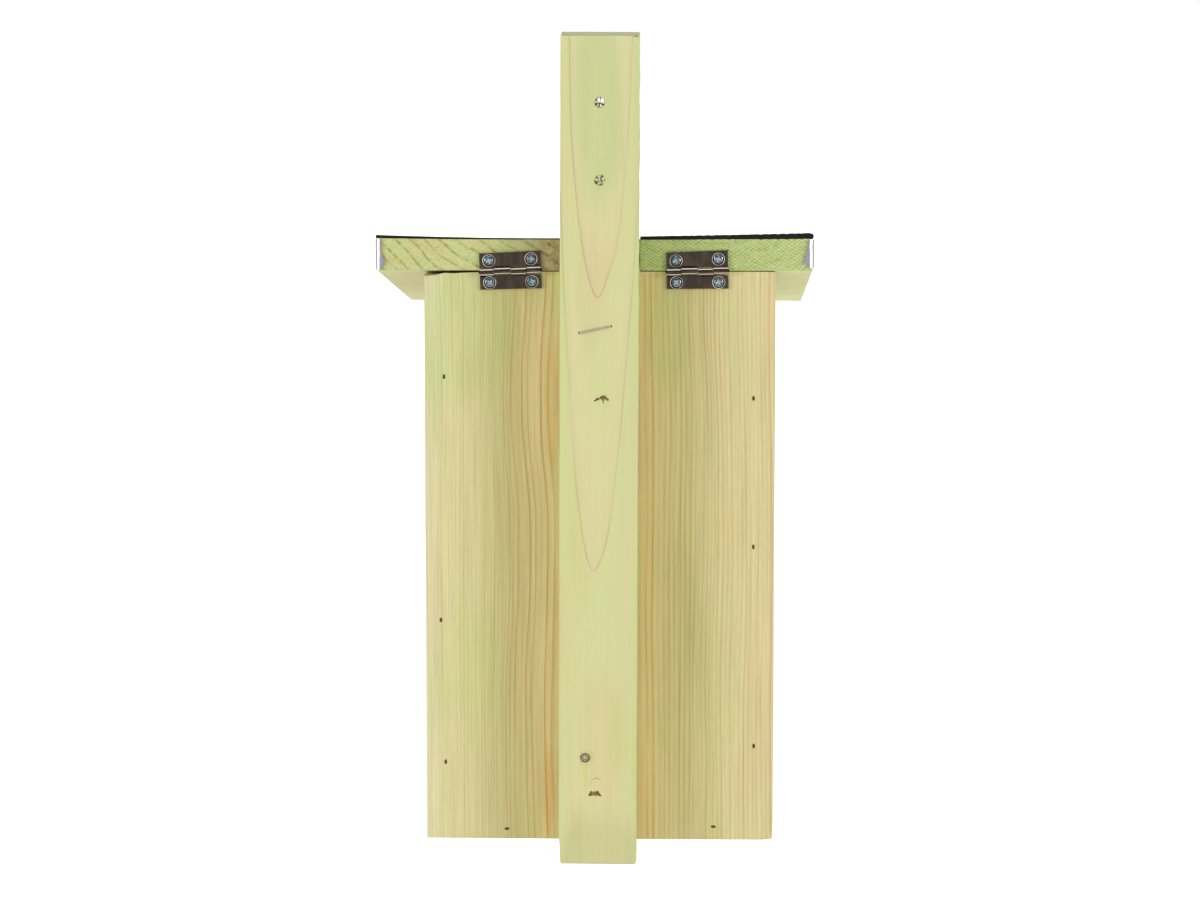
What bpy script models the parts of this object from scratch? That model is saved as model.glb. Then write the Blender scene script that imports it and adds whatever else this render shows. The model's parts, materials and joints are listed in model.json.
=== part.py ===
"""Nest box of treated pine boards. Its felted roof lifts on two small hinges, and a long batten fixes it to
a wall or a tree.

Z is up, the front with the entrance hole faces -Y, and the origin is the centre of the batten's rear face,
which lies against the wall. Left and right are as seen from the front, so right is +X. Values are in metres.
"""

import math

import bmesh
import bpy
from mathutils import Matrix, Vector

# Boards
BOARD = 0.012
GAP = 0.0003
BOX_WIDTH = 0.135
BOX_DEPTH = 0.135
BACK_HEIGHT = 0.2212
BATTEN_WIDTH = 0.030
BATTEN_LENGTH = 0.320
BATTEN_BELOW_BOX = 0.007
MOUNTING_HOLE_R = 0.002
MOUNTING_HOLES_BELOW_TOP = (0.027, 0.0565)
ENTRANCE_R = 0.016
ENTRANCE_ABOVE_FLOOR = 0.136
DRAIN_R = 0.003
DRAIN_FROM_CENTRE = 0.038

# Roof
SLOPE = math.radians(8)
ROOF_WIDTH = 0.168
ROOF_REACH = 0.165
ROOF_SHIFT = 0.002
FELT = 0.0016
FELT_OVERHANG = 0.002
NOTCH_CLEARANCE = 0.0005
TRIM_SHEET = 0.0004
TRIM_GAP = 0.0001
TRIM_LIP = 0.002
TRIM_TAB_START = 0.0006
TRIM_TAB_LOW = 0.0046
TRIM_TAB_HIGH = 0.0018

# Hinges
HINGE_LENGTH = 0.024
HINGE_X = (-0.0375, 0.0342)
LEAF_REACH = 0.0073
LEAF_SHEET = 0.0007
LEAF_GAP = 0.0001
KNUCKLE_R = 0.00105
KNUCKLE_GAP = 0.0003
KNUCKLE_TURN = math.radians(285)
KNUCKLE_STEPS = 10
KNUCKLE_ENDS = (-0.0120, -0.0062, -0.0002, 0.0062, 0.0120)
LEAF_RELIEF = 0.00165
PIN_R = 0.0006
PIN_HEAD_R = 0.0007
PIN_HEAD_LENGTH = 0.0004
PIN_END_GAP = 0.0001
LEAF_HOLE_X = 0.008
LEAF_HOLE_REACH = 0.0043
LEAF_HOLE_R = 0.00145
LEAF_SINK_R = 0.0024
SINK_BEYOND = 0.0003

# Fasteners
HINGE_SCREW_R = 0.0012
HINGE_SCREW_HEAD_R = 0.0020
HINGE_SCREW_LENGTH = 0.0095
SCREW_POINT_R = 0.0002
SCREW_DOME = 0.0003
BATTEN_SCREW_R = 0.0015
BATTEN_SCREW_HEAD_R = 0.0033
BATTEN_SCREW_SUNK = 0.0004
BATTEN_SCREWS = ((-0.0012, 0.0203), (0.0008, -0.1332))
BRAD_LENGTH = 0.025
BRAD_HEAD = (0.0010, 0.0006)
BRAD_HEAD_THICKNESS = 0.0005
BRAD_SHANK = (0.0006, 0.0005)
BRAD_POINT = (0.0002, 0.0004)
BRAD_POINT_LENGTH = 0.001
BRAD_SUNK = 0.0006
POCKET = 0.00015
POCKET_MOUTH = 0.003
STAPLE_CROWN = 0.0127
STAPLE_LEG = 0.008
STAPLE_WIRE = (0.0005, 0.0012)
STAPLE_AT = (0.0015, 0.0468)
STAPLE_TILT = math.radians(12)
STAPLE_SUNK = 0.0001
CLOUT = {"length": 0.0115, "shank": 0.0008, "head": 0.0035, "thickness": 0.0006}
CLOUT_FROM_EDGE = 0.009
CLOUT_ALONG = (0.020, 0.083, 0.146)
TRIM_NAIL = {"length": 0.0110, "shank": 0.0006, "head": 0.0015, "thickness": 0.0005}
TRIM_NAIL_ALONG = (0.032, 0.132)
NAIL_HEAD_GAP = 0.0001

# Worked out from the values above
BACK_Y = -BOARD - GAP
FRONT_Y = BACK_Y - BOX_DEPTH
FLOOR_Z = -BATTEN_LENGTH / 2 + BATTEN_BELOW_BOX
BACK_TOP_Z = FLOOR_Z + BACK_HEIGHT
ENTRANCE_Z = FLOOR_Z + BOARD + ENTRANCE_ABOVE_FLOOR
ROOF_Z = BACK_TOP_Z + GAP
ROOF_LENGTH = ROOF_REACH / math.cos(SLOPE)
NOTCH_DEPTH = BOARD
AXIS_Y = BACK_Y + LEAF_GAP + LEAF_SHEET / 2 + KNUCKLE_R
AXIS_Z = BACK_TOP_Z + GAP / 2

# Brads: (x, height above the box's bottom) in the back and front panels
BACK_SIDE_BRADS = ((0.0600, 0.1805), (0.0616, 0.0857), (0.0600, 0.0298),
                   (-0.0592, 0.1724), (-0.0594, 0.1148), (-0.0599, 0.0367))
BACK_FLOOR_BRADS = ((0.0361, 0.0034), (-0.0443, 0.0047))
FRONT_SIDE_BRADS = ((0.0606, 0.160), (0.0611, 0.094), (0.0600, 0.028),
                    (-0.0604, 0.163), (-0.0612, 0.098), (-0.0598, 0.031))
FRONT_FLOOR_BRADS = ((0.0380, 0.0052), (-0.0360, 0.0048))
SIDE_FLOOR_BRADS_Y = (-0.052, -0.108)


# ---------------------------------------------------------------- scene helpers

def clear_scene():
    for obj in list(bpy.data.objects):
        bpy.data.objects.remove(obj)


def material(name, colour, roughness, metallic=0.0):
    made = bpy.data.materials.new(name)
    made.use_nodes = True
    shader = made.node_tree.nodes["Principled BSDF"]
    shader.inputs["Base Color"].default_value = (*colour, 1.0)
    shader.inputs["Roughness"].default_value = roughness
    shader.inputs["Metallic"].default_value = metallic
    return made


def add_object(name, mesh, made_of=None, origin=None, parent=None):
    """Turns a bmesh into a named object with its faces out. Its origin can sit on a joint's axis."""
    bmesh.ops.recalc_face_normals(mesh, faces=mesh.faces)
    if origin is not None:
        bmesh.ops.translate(mesh, vec=-Vector(origin), verts=mesh.verts)
    data = bpy.data.meshes.new(name)
    mesh.to_mesh(data)
    mesh.free()
    obj = bpy.data.objects.new(name, data)
    bpy.context.scene.collection.objects.link(obj)
    if made_of is not None:
        data.materials.append(made_of)
    if parent is not None:
        obj.parent = parent
    elif origin is not None:
        obj.location = origin
    return obj


def add_cutter(name, mesh):
    cutter = add_object(name, mesh)
    cutter.hide_render = True
    cutter.display_type = "WIRE"
    return cutter


def subtract(obj, cutter):
    cut = obj.modifiers.new("cut_" + cutter.name, "BOOLEAN")
    cut.operation = "DIFFERENCE"
    cut.object = cutter


def shade_round(obj):
    obj.data.shade_smooth()
    obj.data.set_sharp_from_angle(angle=math.radians(40))


# ---------------------------------------------------------------- mesh helpers

def add_box(mesh, low, high):
    corners = bmesh.ops.create_cube(mesh, size=1.0)["verts"]
    low, high = Vector(low), Vector(high)
    for vert in corners:
        share = vert.co + Vector((0.5, 0.5, 0.5))
        vert.co = low + Vector(a * b for a, b in zip(share, high - low))


def add_prism(mesh, outline, low, high, place):
    """Extrudes a flat outline. place(a, b, along) gives the world point."""
    rings = [[mesh.verts.new(place(a, b, along)) for a, b in outline] for along in (low, high)]
    for i in range(len(outline)):
        j = (i + 1) % len(outline)
        mesh.faces.new((rings[0][i], rings[0][j], rings[1][j], rings[1][i]))
    mesh.faces.new(rings[0])
    mesh.faces.new(reversed(rings[1]))


def add_across(mesh, outline, low_x, high_x):
    """Extrudes an outline of (y, z) points along X."""
    add_prism(mesh, outline, low_x, high_x, lambda y, z, x: (x, y, z))


def add_rings(mesh, rings):
    """Joins rings of points with quads and caps the first and the last."""
    made = [[mesh.verts.new(point) for point in ring] for ring in rings]
    for first, second in zip(made, made[1:]):
        for i in range(len(first)):
            j = (i + 1) % len(first)
            mesh.faces.new((first[i], first[j], second[j], second[i]))
    mesh.faces.new(made[0])
    mesh.faces.new(reversed(made[-1]))


def add_turned(mesh, profile, segments, place):
    """Turns a profile of (radius, depth) points. place is a matrix whose local Z is the axis."""
    rings = []
    for radius, depth in profile:
        angles = (2 * math.pi * k / segments for k in range(segments))
        rings.append([place @ Vector((radius * math.cos(a), radius * math.sin(a), depth)) for a in angles])
    add_rings(mesh, rings)


def facing(point, direction):
    """A matrix at a point, whose local -Z goes into the wood when the head faces that direction."""
    turn = Vector(direction).to_track_quat("Z", "X").to_matrix().to_4x4()
    return Matrix.Translation(point) @ turn


# ---------------------------------------------------------------- the roof's own frame

def on_roof(x, along, up):
    """The world point so far down the slope from the roof's lower rear edge, and up from its underside."""
    y = BACK_Y - along * math.cos(SLOPE) - up * math.sin(SLOPE)
    z = ROOF_Z - along * math.sin(SLOPE) + up * math.cos(SLOPE)
    return Vector((x, y, z))


def plumb(up):
    """The distance along the slope at which the vertical rear face lies at that height."""
    return -up * math.tan(SLOPE)


ROOF_UP = Vector((0, -math.sin(SLOPE), math.cos(SLOPE)))


def wall_top(y):
    return BACK_TOP_Z - (BACK_Y - y) * math.tan(SLOPE)


# ---------------------------------------------------------------- boards

def make_batten(wood):
    mesh = bmesh.new()
    half = BATTEN_WIDTH / 2
    add_box(mesh, (-half, -BOARD, -BATTEN_LENGTH / 2), (half, 0, BATTEN_LENGTH / 2))
    batten = add_object("back_batten", mesh, wood)
    holes = bmesh.new()
    for below in MOUNTING_HOLES_BELOW_TOP:
        place = facing((0, 0, BATTEN_LENGTH / 2 - below), (0, 1, 0))
        add_turned(holes, ((MOUNTING_HOLE_R, -2 * BOARD), (MOUNTING_HOLE_R, BOARD)), 12, place)
    subtract(batten, add_cutter("mounting_hole_drills", holes))
    return batten


def make_walls(wood):
    half = BOX_WIDTH / 2
    back_inner, front_inner = BACK_Y - BOARD, FRONT_Y + BOARD
    side_back, side_front = back_inner - GAP, front_inner + GAP
    mesh = bmesh.new()
    add_across(mesh, ((BACK_Y, FLOOR_Z), (back_inner, FLOOR_Z),
                      (back_inner, wall_top(back_inner)), (BACK_Y, BACK_TOP_Z)), -half, half)
    walls = {"back_panel": add_object("back_panel", mesh, wood)}
    mesh = bmesh.new()
    add_across(mesh, ((front_inner, FLOOR_Z), (FRONT_Y, FLOOR_Z),
                      (FRONT_Y, wall_top(FRONT_Y)), (front_inner, wall_top(front_inner))), -half, half)
    walls["front_panel"] = add_object("front_panel", mesh, wood)
    hole = bmesh.new()
    place = facing((0, FRONT_Y, ENTRANCE_Z), (0, -1, 0))
    add_turned(hole, ((ENTRANCE_R, -2 * BOARD), (ENTRANCE_R, BOARD)), 32, place)
    subtract(walls["front_panel"], add_cutter("entrance_drill", hole))
    for side, sign in (("left", -1), ("right", 1)):
        mesh = bmesh.new()
        outline = ((side_back, FLOOR_Z), (side_front, FLOOR_Z),
                   (side_front, wall_top(side_front)), (side_back, wall_top(side_back)))
        add_across(mesh, outline, *sorted((sign * half, sign * (half - BOARD))))
        walls[f"side_panel_{side}"] = add_object(f"side_panel_{side}", mesh, wood)
    mesh = bmesh.new()
    inner = half - BOARD - GAP
    add_box(mesh, (-inner, side_front, FLOOR_Z), (inner, side_back, FLOOR_Z + BOARD))
    walls["floor_panel"] = add_object("floor_panel", mesh, wood)
    drains = bmesh.new()
    middle = (side_back + side_front) / 2
    for x in (-DRAIN_FROM_CENTRE, DRAIN_FROM_CENTRE):
        for y in (middle - DRAIN_FROM_CENTRE, middle + DRAIN_FROM_CENTRE):
            place = facing((x, y, FLOOR_Z), (0, 0, -1))
            add_turned(drains, ((DRAIN_R, -2 * BOARD), (DRAIN_R, BOARD)), 12, place)
    subtract(walls["floor_panel"], add_cutter("drain_drills", drains))
    return walls


def roof_plate(name, made_of, low, high, low_x, high_x, length, hinge):
    """A plate between two heights above the roof's underside. It follows the slope, with a vertical rear face."""
    corners = [on_roof(0, plumb(low), low), on_roof(0, length, low),
               on_roof(0, length, high), on_roof(0, plumb(high), high)]
    mesh = bmesh.new()
    add_across(mesh, [(c.y, c.z) for c in corners], low_x, high_x)
    return add_object(name, mesh, made_of, (0, AXIS_Y, AXIS_Z), hinge)


def make_roof(wood, felt, metal, hinge):
    edge = ROOF_WIDTH / 2 - TRIM_SHEET - TRIM_GAP
    roof = {
        "roof_board_left": roof_plate("roof_board_left", wood, 0, BOARD, ROOF_SHIFT - edge, -GAP / 2,
                                      ROOF_LENGTH, hinge),
        "roof_board_right": roof_plate("roof_board_right", wood, 0, BOARD, GAP / 2, ROOF_SHIFT + edge,
                                       ROOF_LENGTH, hinge),
        "roofing_felt": roof_plate("roofing_felt", felt, BOARD + TRIM_GAP, BOARD + TRIM_GAP + FELT,
                                   ROOF_SHIFT - ROOF_WIDTH / 2, ROOF_SHIFT + ROOF_WIDTH / 2,
                                   ROOF_LENGTH + FELT_OVERHANG, hinge),
    }
    notch = bmesh.new()
    half = BATTEN_WIDTH / 2 + NOTCH_CLEARANCE
    low, high = ROOF_Z - BOARD, ROOF_Z + 3 * BOARD
    add_box(notch, (-half, BACK_Y - NOTCH_DEPTH, low), (half, BACK_Y + BOARD, high))
    cutter = add_cutter("batten_notch", notch)
    for plate in roof.values():
        subtract(plate, cutter)
    for side, sign in (("left", -1), ("right", 1)):
        roof[f"edge_trim_{side}"] = make_trim(f"edge_trim_{side}", metal, sign, hinge)
    return roof


def make_trim(name, metal, sign, hinge):
    """A folded strip on the roof's side: its flange, a lip under the board and a slanting tab at each end."""
    off = TRIM_GAP + TRIM_SHEET / 2
    x = ROOF_SHIFT + sign * (ROOF_WIDTH / 2 - TRIM_SHEET / 2)
    heights = (-off, TRIM_TAB_START, BOARD - TRIM_SHEET)
    rear_y = BACK_Y + off
    mesh = bmesh.new()

    def rear(height):
        along = plumb(height) - off / math.cos(SLOPE)
        return on_roof(x, along, height)

    def inwards(point, reach):
        return mesh.verts.new(Vector(point) - Vector((sign * reach, 0, 0)))

    back = [mesh.verts.new(rear(h)) for h in heights]
    front = [mesh.verts.new(on_roof(x, ROOF_LENGTH + off, h)) for h in heights]
    assert abs(back[0].co.y - rear_y) < 1e-6
    mesh.faces.new((back[0], front[0], front[1], back[1]))
    mesh.faces.new((back[1], front[1], front[2], back[2]))
    mesh.faces.new((front[0], back[0], inwards(back[0].co, TRIM_LIP), inwards(front[0].co, TRIM_LIP)))
    for end in (back, front):
        low, high = inwards(end[1].co, TRIM_TAB_LOW), inwards(end[2].co, TRIM_TAB_HIGH)
        mesh.faces.new((end[1], end[2], high, low))
    trim = add_object(name, mesh, metal, (0, AXIS_Y, AXIS_Z), hinge)
    solid = trim.modifiers.new("sheet", "SOLIDIFY")
    solid.thickness = TRIM_SHEET
    solid.offset = 0.0
    solid.use_even_offset = True
    return trim


# ---------------------------------------------------------------- hinges

def knuckle_point(turn):
    """The rolled sheet's middle, as distances from the axis towards the leaf and from the leaf's back."""
    return -KNUCKLE_R * math.sin(turn), LEAF_SHEET / 2 + KNUCKLE_R - KNUCKLE_R * math.cos(turn)


def make_leaf(name, metal, hinge_x, upwards, own, parent=None):
    """A stamped leaf: a plate that rolls round the pin in the stretches of its length that it owns."""
    mesh = bmesh.new()
    sign = 1 if upwards else -1

    def point(x, reach, lift):
        return Vector((hinge_x + x, BACK_Y + LEAF_GAP + lift, AXIS_Z + sign * reach))

    edges = []
    for k, (low, high) in enumerate(zip(KNUCKLE_ENDS, KNUCKLE_ENDS[1:])):
        low += KNUCKLE_GAP / 2 if k else 0
        high -= KNUCKLE_GAP / 2 if k < len(KNUCKLE_ENDS) - 2 else 0
        edges += [low, high]
    middle = LEAF_SHEET / 2
    outer = [mesh.verts.new(point(x, LEAF_REACH, middle)) for x in edges]
    relief = [mesh.verts.new(point(x, LEAF_RELIEF, middle)) for x in edges]
    for k in range(len(edges) - 1):
        mesh.faces.new((outer[k], outer[k + 1], relief[k + 1], relief[k]))
    for k in own:
        last = relief[2 * k:2 * k + 2]
        for step in range(KNUCKLE_STEPS + 1):
            reach, lift = knuckle_point(KNUCKLE_TURN * step / KNUCKLE_STEPS)
            row = [mesh.verts.new(point(x, reach, lift)) for x in edges[2 * k:2 * k + 2]]
            mesh.faces.new((last[0], last[1], row[1], row[0]))
            last = row
    leaf = add_object(name, mesh, metal, (0, AXIS_Y, AXIS_Z), parent)
    sheet = leaf.modifiers.new("sheet", "SOLIDIFY")
    sheet.thickness = LEAF_SHEET
    sheet.offset = 0.0
    sheet.use_even_offset = True
    sinks = bmesh.new()
    taper = (LEAF_SINK_R - LEAF_HOLE_R) / LEAF_SHEET
    for x in (-LEAF_HOLE_X, LEAF_HOLE_X):
        place = facing(point(x, LEAF_HOLE_REACH, 0), (0, 1, 0))
        add_turned(sinks, ((LEAF_HOLE_R - taper * SINK_BEYOND, -SINK_BEYOND),
                           (LEAF_SINK_R + taper * SINK_BEYOND, LEAF_SHEET + SINK_BEYOND)), 16, place)
    subtract(leaf, add_cutter(name + "_sinks", sinks))
    shade_round(leaf)
    return leaf


def make_hinge(side, hinge_x, metal, hinge):
    """Seen from behind, the fixed leaf's knuckles are the first and third from the +X end."""
    make_leaf(f"hinge_{side}_fixed_leaf", metal, hinge_x, False, (3, 1))
    make_leaf(f"hinge_{side}_roof_leaf", metal, hinge_x, True, (2, 0), hinge)
    half = HINGE_LENGTH / 2 + PIN_END_GAP
    rim, end = half + PIN_HEAD_LENGTH / 2, half + PIN_HEAD_LENGTH
    mesh = bmesh.new()
    place = facing((hinge_x, AXIS_Y, AXIS_Z), (1, 0, 0))
    profile = ((PIN_HEAD_R / 2, -end), (PIN_HEAD_R, -rim), (PIN_HEAD_R, -half), (PIN_R, -half),
               (PIN_R, half), (PIN_HEAD_R, half), (PIN_HEAD_R, rim), (PIN_HEAD_R / 2, end))
    add_turned(mesh, profile, 12, place)
    shade_round(add_object(f"hinge_{side}_pin", mesh, metal, (hinge_x, AXIS_Y, AXIS_Z)))


# ---------------------------------------------------------------- fasteners

def screw_profile(shank_r, head_r, length):
    """From the tip to the top of a raised countersunk head, whose rim is at depth 0."""
    neck = -(head_r - shank_r)
    return ((SCREW_POINT_R, -length), (shank_r * 0.9, -length + 2 * shank_r),
            (shank_r, -length + 3 * shank_r), (shank_r, neck),
            (head_r, 0), (head_r * 0.62, SCREW_DOME * 0.75), (head_r * 0.2, SCREW_DOME))


def cross_recess(mesh, place, width, depth, top):
    """A cross of two tapered slots, as one closed body."""
    narrow = 0.32
    rings = []
    for share, level in ((1.0, top), (0.45, -depth)):
        half, arm = width / 2 * share, width / 2 * narrow * (0.5 + share / 2)
        quarter = ((half, -arm), (half, arm), (arm, arm))
        ring = []
        for k in range(4):
            turn = Matrix.Rotation(k * math.pi / 2, 2)
            ring += [place @ Vector((*(turn @ Vector(p)), level)) for p in quarter]
        rings.append(ring)
    add_rings(mesh, rings)


def make_screw(name, steel, place, sizes, pockets, parent=None):
    """A cross-head screw, and its pocket in the wood added to a cutter mesh."""
    shank_r, head_r, length = sizes
    mesh = bmesh.new()
    add_turned(mesh, screw_profile(shank_r, head_r, length), 12, place)
    screw = add_object(name, mesh, steel, place.translation, parent)
    if parent is not None:
        screw.location = place.translation - Vector(parent.location)
    recess = bmesh.new()
    cross_recess(recess, place, head_r * 1.25, head_r * 0.45, SCREW_DOME * 2)
    subtract(screw, add_cutter(name + "_recess", recess))
    shade_round(screw)
    neck = -(head_r - shank_r)
    add_turned(pockets, ((shank_r + POCKET, -length - POCKET), (shank_r + POCKET, neck),
                         (head_r + 2 * POCKET, POCKET), (head_r + 2 * POCKET, POCKET_MOUTH)), 12, place)


def rectangle(place, half_sizes, depth, widen):
    half_a, half_b = (size + widen for size in half_sizes)
    signs = ((1, 1), (-1, 1), (-1, -1), (1, -1))
    return [place @ Vector((half_a * a, half_b * b, depth)) for a, b in signs]


def make_brad(name, steel, place, pockets):
    """A T-headed brad sunk under the surface. Its head is long along local X."""
    top, step, tip = -BRAD_SUNK, -BRAD_SUNK - BRAD_HEAD_THICKNESS, -BRAD_SUNK - BRAD_LENGTH
    mesh = bmesh.new()
    add_rings(mesh, [rectangle(place, BRAD_POINT, tip, 0),
                     rectangle(place, BRAD_SHANK, tip + BRAD_POINT_LENGTH, 0),
                     rectangle(place, BRAD_SHANK, step, 0), rectangle(place, BRAD_HEAD, step, 0),
                     rectangle(place, BRAD_HEAD, top, 0)])
    brad = add_object(name, mesh, steel, place.translation)
    add_rings(pockets, [rectangle(place, BRAD_SHANK, tip - POCKET, POCKET),
                        rectangle(place, BRAD_SHANK, step - POCKET, POCKET),
                        rectangle(place, BRAD_HEAD, step - POCKET, POCKET),
                        rectangle(place, BRAD_HEAD, POCKET_MOUTH, POCKET)])
    return brad


def upright(point, direction):
    """As facing, with local X pointing up."""
    z = Vector(direction)
    x = Vector((0, 0, 1))
    turn = Matrix((x, z.cross(x), z)).transposed().to_4x4()
    return Matrix.Translation(point) @ turn


def level(point, direction):
    """As facing, with local X level."""
    z = Vector(direction)
    y = Vector((0, 0, 1))
    turn = Matrix((y.cross(z), y, z)).transposed().to_4x4()
    return Matrix.Translation(point) @ turn


def make_brads(walls, steel):
    pockets = bmesh.new()
    for face, y, facing_y, side_brads, floor_brads in (
            ("back", BACK_Y, 1, BACK_SIDE_BRADS, BACK_FLOOR_BRADS),
            ("front", FRONT_Y, -1, FRONT_SIDE_BRADS, FRONT_FLOOR_BRADS)):
        for k, (x, above) in enumerate(side_brads):
            place = upright((x, y, FLOOR_Z + above), (0, facing_y, 0))
            make_brad(f"{face}_side_brad_{k + 1}", steel, place, pockets)
        for k, (x, above) in enumerate(floor_brads):
            place = level((x, y, FLOOR_Z + above), (0, facing_y, 0))
            make_brad(f"{face}_floor_brad_{k + 1}", steel, place, pockets)
    for side, sign in (("left", -1), ("right", 1)):
        for k, y in enumerate(SIDE_FLOOR_BRADS_Y):
            place = level((sign * BOX_WIDTH / 2, y, FLOOR_Z + BOARD * 0.6), (sign, 0, 0))
            make_brad(f"{side}_floor_brad_{k + 1}", steel, place, pockets)
    cutter = add_cutter("brad_pockets", pockets)
    for wall in walls.values():
        subtract(wall, cutter)


def make_hinge_screws(walls, roof, steel, hinge):
    fixed, lifted = bmesh.new(), bmesh.new()
    rim_y = BACK_Y + LEAF_GAP + LEAF_SHEET
    sizes = (HINGE_SCREW_R, HINGE_SCREW_HEAD_R, HINGE_SCREW_LENGTH)
    for side, hinge_x in zip(("left", "right"), HINGE_X):
        for k, x in enumerate((-LEAF_HOLE_X, LEAF_HOLE_X)):
            low = facing((hinge_x + x, rim_y, AXIS_Z - LEAF_HOLE_REACH), (0, 1, 0))
            high = facing((hinge_x + x, rim_y, AXIS_Z + LEAF_HOLE_REACH), (0, 1, 0))
            make_screw(f"hinge_{side}_fixed_screw_{k + 1}", steel, low, sizes, fixed)
            make_screw(f"hinge_{side}_roof_screw_{k + 1}", steel, high, sizes, lifted, hinge)
    subtract(walls["back_panel"], add_cutter("fixed_screw_pockets", fixed))
    cutter = add_cutter("roof_screw_pockets", lifted)
    for side in ("left", "right"):
        subtract(roof[f"roof_board_{side}"], cutter)


def make_batten_screws(walls, batten, steel):
    """Driven from inside the box. The tips end just under the batten's rear face, where the holes break out."""
    pockets = bmesh.new()
    head_y = BACK_Y - BOARD + BATTEN_SCREW_SUNK
    length = -head_y - BATTEN_SCREW_SUNK
    sizes = (BATTEN_SCREW_R, BATTEN_SCREW_HEAD_R, length)
    for k, (x, z) in enumerate(BATTEN_SCREWS):
        place = facing((x, head_y, z), (0, -1, 0))
        make_screw(f"batten_screw_{k + 1}", steel, place, sizes, pockets)
        breakout = BATTEN_SCREW_R * 0.9
        add_turned(pockets, ((breakout, -length - BOARD / 6), (breakout, -length + BOARD / 24)), 12, place)
    cutter = add_cutter("batten_screw_pockets", pockets)
    subtract(walls["back_panel"], cutter)
    subtract(batten, cutter)


def staple_outline(widen):
    """The staple's flat shape: its crown lies along the first axis and its legs go down the second."""
    wire = STAPLE_WIRE[0]
    half, top = STAPLE_CROWN / 2 + widen, widen
    inner, under = STAPLE_CROWN / 2 - wire - widen, -wire - widen
    tip = -STAPLE_LEG - widen
    return ((-half, tip), (-half, top), (half, top), (half, tip), (inner, tip), (inner, under),
            (-inner, under), (-inner, tip))


def make_staple(batten, steel):
    """A stray staple in the batten, its crown pressed flush into the wood."""
    centre = Vector((STAPLE_AT[0], -STAPLE_SUNK, STAPLE_AT[1]))
    along = Vector((-math.cos(STAPLE_TILT), 0, math.sin(STAPLE_TILT)))
    across = Vector((math.sin(STAPLE_TILT), 0, math.cos(STAPLE_TILT)))
    half = STAPLE_WIRE[1] / 2

    def place(a, b, c):
        return centre + along * a + Vector((0, b, 0)) + across * c

    mesh, pocket = bmesh.new(), bmesh.new()
    add_prism(mesh, staple_outline(0), -half, half, place)
    add_prism(pocket, staple_outline(POCKET), -half - POCKET, half + POCKET, place)
    add_object("staple", mesh, steel)
    subtract(batten, add_cutter("staple_pocket", pocket))


def make_nail(name, metal, sizes, place, pockets, hinge):
    """A flat-headed nail whose head sits on the surface. Its pocket is added to a cutter mesh."""
    shank, head, length = sizes["shank"], sizes["head"], sizes["length"]
    top = NAIL_HEAD_GAP + sizes["thickness"]
    mesh = bmesh.new()
    add_turned(mesh, ((shank / 4, -length), (shank, -length + 2 * shank), (shank, NAIL_HEAD_GAP),
                      (head, NAIL_HEAD_GAP), (head, top), (head * 0.7, top * 1.4)), 12, place)
    shade_round(add_object(name, mesh, metal, (0, AXIS_Y, AXIS_Z), hinge))
    add_turned(pockets, ((shank + POCKET, -length - POCKET), (shank + POCKET, POCKET_MOUTH)), 8, place)


def make_roof_nails(roof, galvanised, hinge):
    """Clout nails hold the felt, and smaller ones hold the trim."""
    clouts, trim_nails = bmesh.new(), bmesh.new()
    felt_top = BOARD + TRIM_GAP + FELT
    for side, sign in (("left", -1), ("right", 1)):
        x = ROOF_SHIFT + sign * ROOF_WIDTH / 2
        for k, along in enumerate(CLOUT_ALONG):
            place = facing(on_roof(x - sign * CLOUT_FROM_EDGE, along, felt_top), ROOF_UP)
            make_nail(f"clout_nail_{side}_{k + 1}", galvanised, CLOUT, place, clouts, hinge)
        for k, along in enumerate(TRIM_NAIL_ALONG):
            place = facing(on_roof(x, along, BOARD / 2), (sign, 0, 0))
            make_nail(f"trim_nail_{side}_{k + 1}", galvanised, TRIM_NAIL, place, trim_nails, hinge)
    clout_cutter = add_cutter("clout_nail_pockets", clouts)
    trim_cutter = add_cutter("trim_nail_pockets", trim_nails)
    for side in ("left", "right"):
        subtract(roof[f"roof_board_{side}"], clout_cutter)
        subtract(roof[f"roof_board_{side}"], trim_cutter)
        subtract(roof[f"edge_trim_{side}"], trim_cutter)
    subtract(roof["roofing_felt"], clout_cutter)


# ---------------------------------------------------------------- the whole object

def main():
    clear_scene()
    panel_wood = material("treated_pine", (0.72, 0.68, 0.38), 0.7)
    batten_wood = material("pale_batten_pine", (0.76, 0.76, 0.45), 0.7)
    roof_wood = material("green_end_grain_pine", (0.60, 0.66, 0.30), 0.75)
    felt = material("black_roofing_felt", (0.02, 0.02, 0.02), 0.9)
    aluminium = material("aluminium_strip", (0.80, 0.80, 0.82), 0.3, 1.0)
    nickel = material("nickel_plated_steel", (0.45, 0.42, 0.40), 0.25, 1.0)
    zinc = material("zinc_plated_steel", (0.70, 0.76, 0.80), 0.3, 1.0)
    steel = material("bright_steel", (0.55, 0.53, 0.50), 0.4, 1.0)

    hinge = bpy.data.objects.new("roof_hinge_axis", None)
    hinge.location = (0, AXIS_Y, AXIS_Z)
    bpy.context.scene.collection.objects.link(hinge)

    batten = make_batten(batten_wood)
    walls = make_walls(panel_wood)
    roof = make_roof(roof_wood, felt, aluminium, hinge)
    for side, hinge_x in zip(("left", "right"), HINGE_X):
        make_hinge(side, hinge_x, nickel, hinge)
    make_brads(walls, steel)
    make_hinge_screws(walls, roof, zinc, hinge)
    make_batten_screws(walls, batten, zinc)
    make_staple(batten, steel)
    make_roof_nails(roof, zinc, hinge)


main()
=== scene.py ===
"""Looks of the nest box: weathered boards of treated pine, felt, folded aluminium, hinges and fasteners.

Every piece is built in metres in the frame's axes: Z is up and the back faces +Y. Left and right are as seen
from the front, so left is -X.
"""

import json
import math

import bmesh
import bpy
from mathutils import Matrix, Vector, noise


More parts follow.
